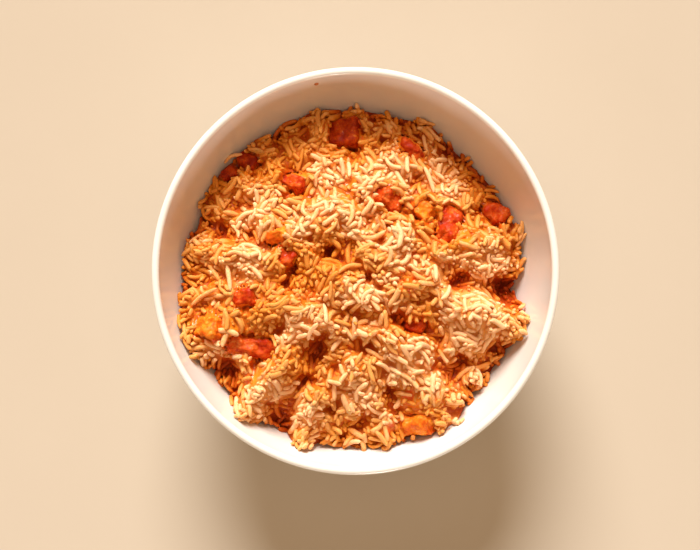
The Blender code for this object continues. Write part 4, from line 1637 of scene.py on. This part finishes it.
@dataclass
class GrainTree(NodeKit):
    """The Geometry Nodes tree that grows a grain on each point of a mesh."""

    rings: int = 11
    sides: int = 7
    flatness: float = 0.84
    bluntness: float = 5.0
    lump_scale: float = 460.0

    def __post_init__(self) -> None:
        """Builds the tree: its named inputs, its output and its nodes."""
        super().__init__(bpy.data.node_groups.new("Rice_Grains", "GeometryNodeTree"))
        kinds = {"Geometry": "NodeSocketGeometry"}
        kinds |= dict.fromkeys(("Length", "Width", "Bow", "Hook", "Split", "Lump"), "NodeSocketFloat")
        kinds |= {"Seed": "NodeSocketInt", "Finish": "NodeSocketMaterial"}
        sockets = self.tree.interface
        self.ids: dict[str, str] = {
            name: sockets.new_socket(name, in_out="INPUT", socket_type=kind).identifier
            for name, kind in kinds.items()
        }
        sockets.new_socket("Geometry", in_out="OUTPUT", socket_type="NodeSocketGeometry")
        self.given = self.node("NodeGroupInput")
        self.connect()

    def input(self, name: str) -> Value:
        """One of the tree's inputs."""
        return Value(self, self.given.outputs[name])

    def named(self, name: str, kind: str) -> Value:
        """An attribute that each point carries."""
        return self.number("GeometryNodeInputNamedAttribute", {"data_type": kind}, {"Name": name})

    def spine(self) -> tuple[bpy.types.NodeSocket, Value]:
        """The grain's middle line as a curve, and its half width along it."""
        line = self.out("GeometryNodeCurvePrimitiveLine", None, {"Start": (0, 0, 0), "End": (1, 0, 0)})
        curve = self.out("GeometryNodeResampleCurve", None, {"Curve": line, "Count": self.rings})
        factor = self.number("GeometryNodeSplineParameter", output="Factor")
        along = (factor * math.pi).cosine() * -1.0
        settings = {"data_type": "FLOAT", "domain": "POINT"}
        sockets = {"Geometry": curve, "Name": "along", "Value": along}
        kept = self.out("GeometryNodeStoreNamedAttribute", settings, sockets)
        square = along * along
        arch = (1.0 / 3.0 - square) * self.input("Bow")
        aside = arch + (square * along - along * 0.6) * (self.input("Hook") * 0.5)
        length = along * (self.input("Length") * 0.5)
        place = self.out("ShaderNodeCombineXYZ", None, {0: length, 1: aside, 2: 0.0})
        moved = self.out("GeometryNodeSetPosition", None, {"Geometry": kept, "Position": place})
        blunt = 1.0 - abs(self.named("along", "FLOAT")) ** self.bluntness
        return moved, blunt.most(0.02) ** 0.5 * (self.input("Width") * 0.5)

    def body(self) -> bpy.types.NodeSocket:
        """One grain as a mesh: an oval section swept along the middle line, with its cleft."""
        sockets = {"Resolution": self.sides, "Radius": 1.0}
        sockets = {"Geometry": self.out("GeometryNodeCurvePrimitiveCircle", None, sockets)}
        sockets |= {"Scale": (1.0, self.flatness, 1.0)}
        oval = self.out("GeometryNodeTransform", None, sockets)
        line, radius = self.spine()
        sockets = {"Curve": line, "Profile Curve": oval, "Scale": radius, "Fill Caps": True}
        swept = self.out("GeometryNodeCurveToMesh", None, sockets)
        width, split = self.input("Width"), self.input("Split")
        place = self.out("GeometryNodeInputPosition")
        across = self.number("ShaderNodeSeparateXYZ", None, {0: place}, 1)
        cleft = (1.0 - abs(across) / (width * 0.30)).most(0.0)
        end = (self.named("along", "FLOAT") * 2.6 - 1.6).most(0.0)
        flare = end * split * 0.28
        shift = {0: cleft * end * split * -1.0, 1: across * flare / width, 2: 0.0}
        offset = self.out("ShaderNodeCombineXYZ", None, shift)
        return self.out("GeometryNodeSetPosition", None, {"Geometry": swept, "Offset": offset})

    def lumpy(self, geometry: bpy.types.NodeSocket) -> bpy.types.NodeSocket:
        """Moves each point of the grown grains a little, so that no two are alike.

        Args:
            geometry: The grains.

        Returns:
            The lumpy grains.
        """
        sockets = {"Vector": self.out("GeometryNodeInputPosition"), "W": self.input("Seed")}
        sockets |= {"Scale": self.lump_scale, "Detail": 2.0, "Roughness": 0.6}
        lumps = self.out("ShaderNodeTexNoise", {"noise_dimensions": "4D"}, sockets, 1)
        sockets = {0: lumps, 1: (0.5, 0.5, 0.5)}
        centred = self.out("ShaderNodeVectorMath", {"operation": "SUBTRACT"}, sockets)
        amount = self.input("Lump") * (abs(self.named("along", "FLOAT")) ** 6.0 + 0.8)
        moved = self.out("ShaderNodeVectorMath", {"operation": "SCALE"}, {0: centred, "Scale": amount})
        return self.out("GeometryNodeSetPosition", None, {"Geometry": geometry, "Offset": moved})

    def connect(self) -> None:
        """Joins the parts: a grain on each point, realized, made lumpy and given its finish."""
        sockets = {
            "Points": self.input("Geometry"),
            "Instance": self.body(),
            "Rotation": self.named("turn", "QUATERNION"),
            "Scale": self.named("size", "FLOAT_VECTOR"),
        }
        placed = self.out("GeometryNodeInstanceOnPoints", None, sockets)
        real = self.out("GeometryNodeRealizeInstances", None, {"Geometry": placed})
        smooth = self.out("GeometryNodeSetShadeSmooth", None, {"Geometry": self.lumpy(real)})
        finish = {"Geometry": smooth, "Material": self.input("Finish")}
        dressed = self.out("GeometryNodeSetMaterial", None, finish)
        self.node("NodeGroupOutput", None, {"Geometry": dressed})


@dataclass
class Grains:
    """All the grains that show, as one piece for each kind."""

    pile: Pile
    tree: GrainTree
    lump: float = 1.1

    def points(self, kind: Kind, laid: list[Laid]) -> bpy.types.Mesh:
        """A mesh with one point for each grain of a kind, and its turn, size and tint.

        Args:
            kind: The kind of grain.
            laid: The grains.

        Returns:
            The mesh.
        """
        mesh = bpy.data.meshes.new(kind.label)
        mesh.from_pydata([tuple(np.array(grain.middle) * MM) for grain in laid], [], [])
        store(mesh, "turn", [grain.axes().to_quaternion() for grain in laid], "QUATERNION")
        store(mesh, "size", [(grain.long, grain.wide, grain.wide) for grain in laid], "FLOAT_VECTOR")
        store(mesh, "tint", [self.pile.tint(grain) for grain in laid])
        return mesh

    def grow(self, item: bpy.types.Object, kind: Kind, seed: int, material: bpy.types.Material) -> None:
        """Puts the tree on a piece with this kind's sizes.

        Args:
            item: The piece, a mesh of points.
            kind: The kind of grain.
            seed: The seed of its lumps.
            material: The finish.
        """
        modifier = item.modifiers.new("Grains", "NODES")
        modifier.node_group = self.tree.tree
        sizes = {"Length": kind.length, "Width": kind.width, "Bow": kind.bow, "Hook": kind.hook}
        sizes |= {"Split": kind.split, "Lump": self.lump}
        for name, size in sizes.items():
            modifier[self.tree.ids[name]] = size * MM
        modifier[self.tree.ids["Seed"]] = seed
        modifier[self.tree.ids["Finish"]] = material

    def build(self, material: bpy.types.Material) -> list[bpy.types.Object]:
        """Grows the grains of each kind and dresses them.

        Args:
            material: The finish.

        Returns:
            The pieces.
        """
        shown = self.pile.shown()
        pieces = []
        for number, kind in enumerate(Kind):
            chosen = [grain for grain in shown if grain.kind is kind]
            item = new_object(kind.label, self.points(kind, chosen))
            self.grow(item, kind, number, material)
            self.pile.shade(baked(item))
            pieces.append(dress(item, material, "tomato_rice", "Rice"))
            LOG.info("%s: %d grains", kind.label, len(chosen))
        return pieces


# ---- the studio -----------------------------------------------------------------------


@dataclass(frozen=True)
class Studio:
    """The pale floor, the soft lights, the sky and the camera straight above, in metres."""

    floor_size: float = 30.0
    camera_place: Place = (-0.00208, -0.00152, 0.626)
    lens: float = 75.99
    sensor: float = 36.0
    clip_end: float = 60.0
    distance: float = 3.5
    key_heading: float = 97.0
    key_rise: float = 34.0
    key_spread: float = 28.9
    key_strength: float = 6.0
    key_colour: Colour = (1.0, 0.965, 0.91)
    fill_rise: float = 84.0
    fill_size: float = 3.7
    fill_power: float = 35.5
    fill_colour: Colour = (1.0, 0.82, 0.6)
    rim_rise: float = 3.0
    rim_size: float = 0.7
    rim_power: float = 70.0
    sky: Colour = (1.0, 0.60, 0.29)
    sky_strength: float = 0.36

    def build(self) -> None:
        """Sets up the floor, the lights, the sky and the camera."""
        self.floor()
        self.key()
        self.square_light("Fill", self.fill_rise, self.fill_size, self.fill_power, self.fill_colour)
        self.square_light("Rim", self.rim_rise, self.rim_size, self.rim_power, self.key_colour)
        world = bpy.data.worlds.new("Sky")
        world.use_nodes = True
        background = world.node_tree.nodes["Background"]
        background.inputs["Color"].default_value = (*self.sky, 1.0)
        background.inputs["Strength"].default_value = self.sky_strength
        bpy.context.scene.world = world
        bpy.context.scene.view_settings.view_transform = "Standard"
        self.camera()

    def floor(self) -> None:
        """A wide flat floor at the height of the foot."""
        half = self.floor_size / 2
        mesh = bpy.data.meshes.new("Floor")
        corners = [(-half, -half, 0.0), (half, -half, 0.0), (half, half, 0.0), (-half, half, 0.0)]
        mesh.from_pydata(corners, [], [(0, 1, 2, 3)])
        item = new_object("Floor", mesh)
        mesh.materials.append(FloorFinish().material())

    def place_light(self, lamp: bpy.types.Light, heading: float, rise: float) -> None:
        """Puts a light at its distance from the bowl, facing it.

        Args:
            lamp: The light.
            heading: Its direction in the plan, in degrees.
            rise: How high it stands, in degrees.
        """
        turn, lift = math.radians(heading), math.radians(rise)
        flat = math.cos(lift)
        away = Vector((math.cos(turn) * flat, math.sin(turn) * flat, math.sin(lift)))
        item = new_object(lamp.name, lamp)
        item.location = away * self.distance
        item.rotation_euler = away.to_track_quat("Z", "Y").to_euler()

    def key(self) -> None:
        """The main light, which counts as far off and wide, so that the floor is evenly lit."""
        lamp = bpy.data.lights.new("Key", "SUN")
        lamp.angle = math.radians(self.key_spread)
        lamp.energy = self.key_strength
        lamp.color = self.key_colour
        self.place_light(lamp, self.key_heading, self.key_rise)

    def square_light(self, name: str, rise: float, size: float, power: float, colour: Colour) -> None:
        """A square soft light across from the main light.

        Args:
            name: Its name.
            rise: How high it stands, in degrees.
            size: Its side, in metres.
            power: Its power, in watts.
            colour: Its colour.
        """
        lamp = bpy.data.lights.new(name, "AREA")
        lamp.shape = "SQUARE"
        lamp.size = size
        lamp.energy = power
        lamp.color = colour
        self.place_light(lamp, self.key_heading + 180, rise)

    def camera(self) -> None:
        """The camera straight above, with the photograph's framing."""
        data = bpy.data.cameras.new("Camera")
        data.sensor_width = self.sensor
        data.lens = self.lens
        data.clip_end = self.clip_end
        item = new_object("Camera", data)
        item.location = self.camera_place
        bpy.context.scene.camera = item


# ---- the whole ------------------------------------------------------------------------


def main() -> None:
    """Builds the studio, the bowl, the tomato, the speck, the core and the grains, in that order."""
    logging.basicConfig(level=logging.INFO, format="%(message)s")
    Studio().build()
    bowl = Bowl()
    bowl.build()
    finishes = {cut: TomatoFinish(cut).material() for cut in Cut}
    blocks = [TomatoPiece(number, cut).build(finishes[cut]) for number, cut in TOMATO_CUTS.items()]
    SauceSpeck(bowl).build(finishes[Cut.DRIED])
    pile = Pile(Heap(bowl), blocks)
    pile.fill()
    pile.soak()
    SauceCore(pile).build()
    Grains(pile, GrainTree()).build(RiceFinish().material())


if __name__ == "__main__":
    main()
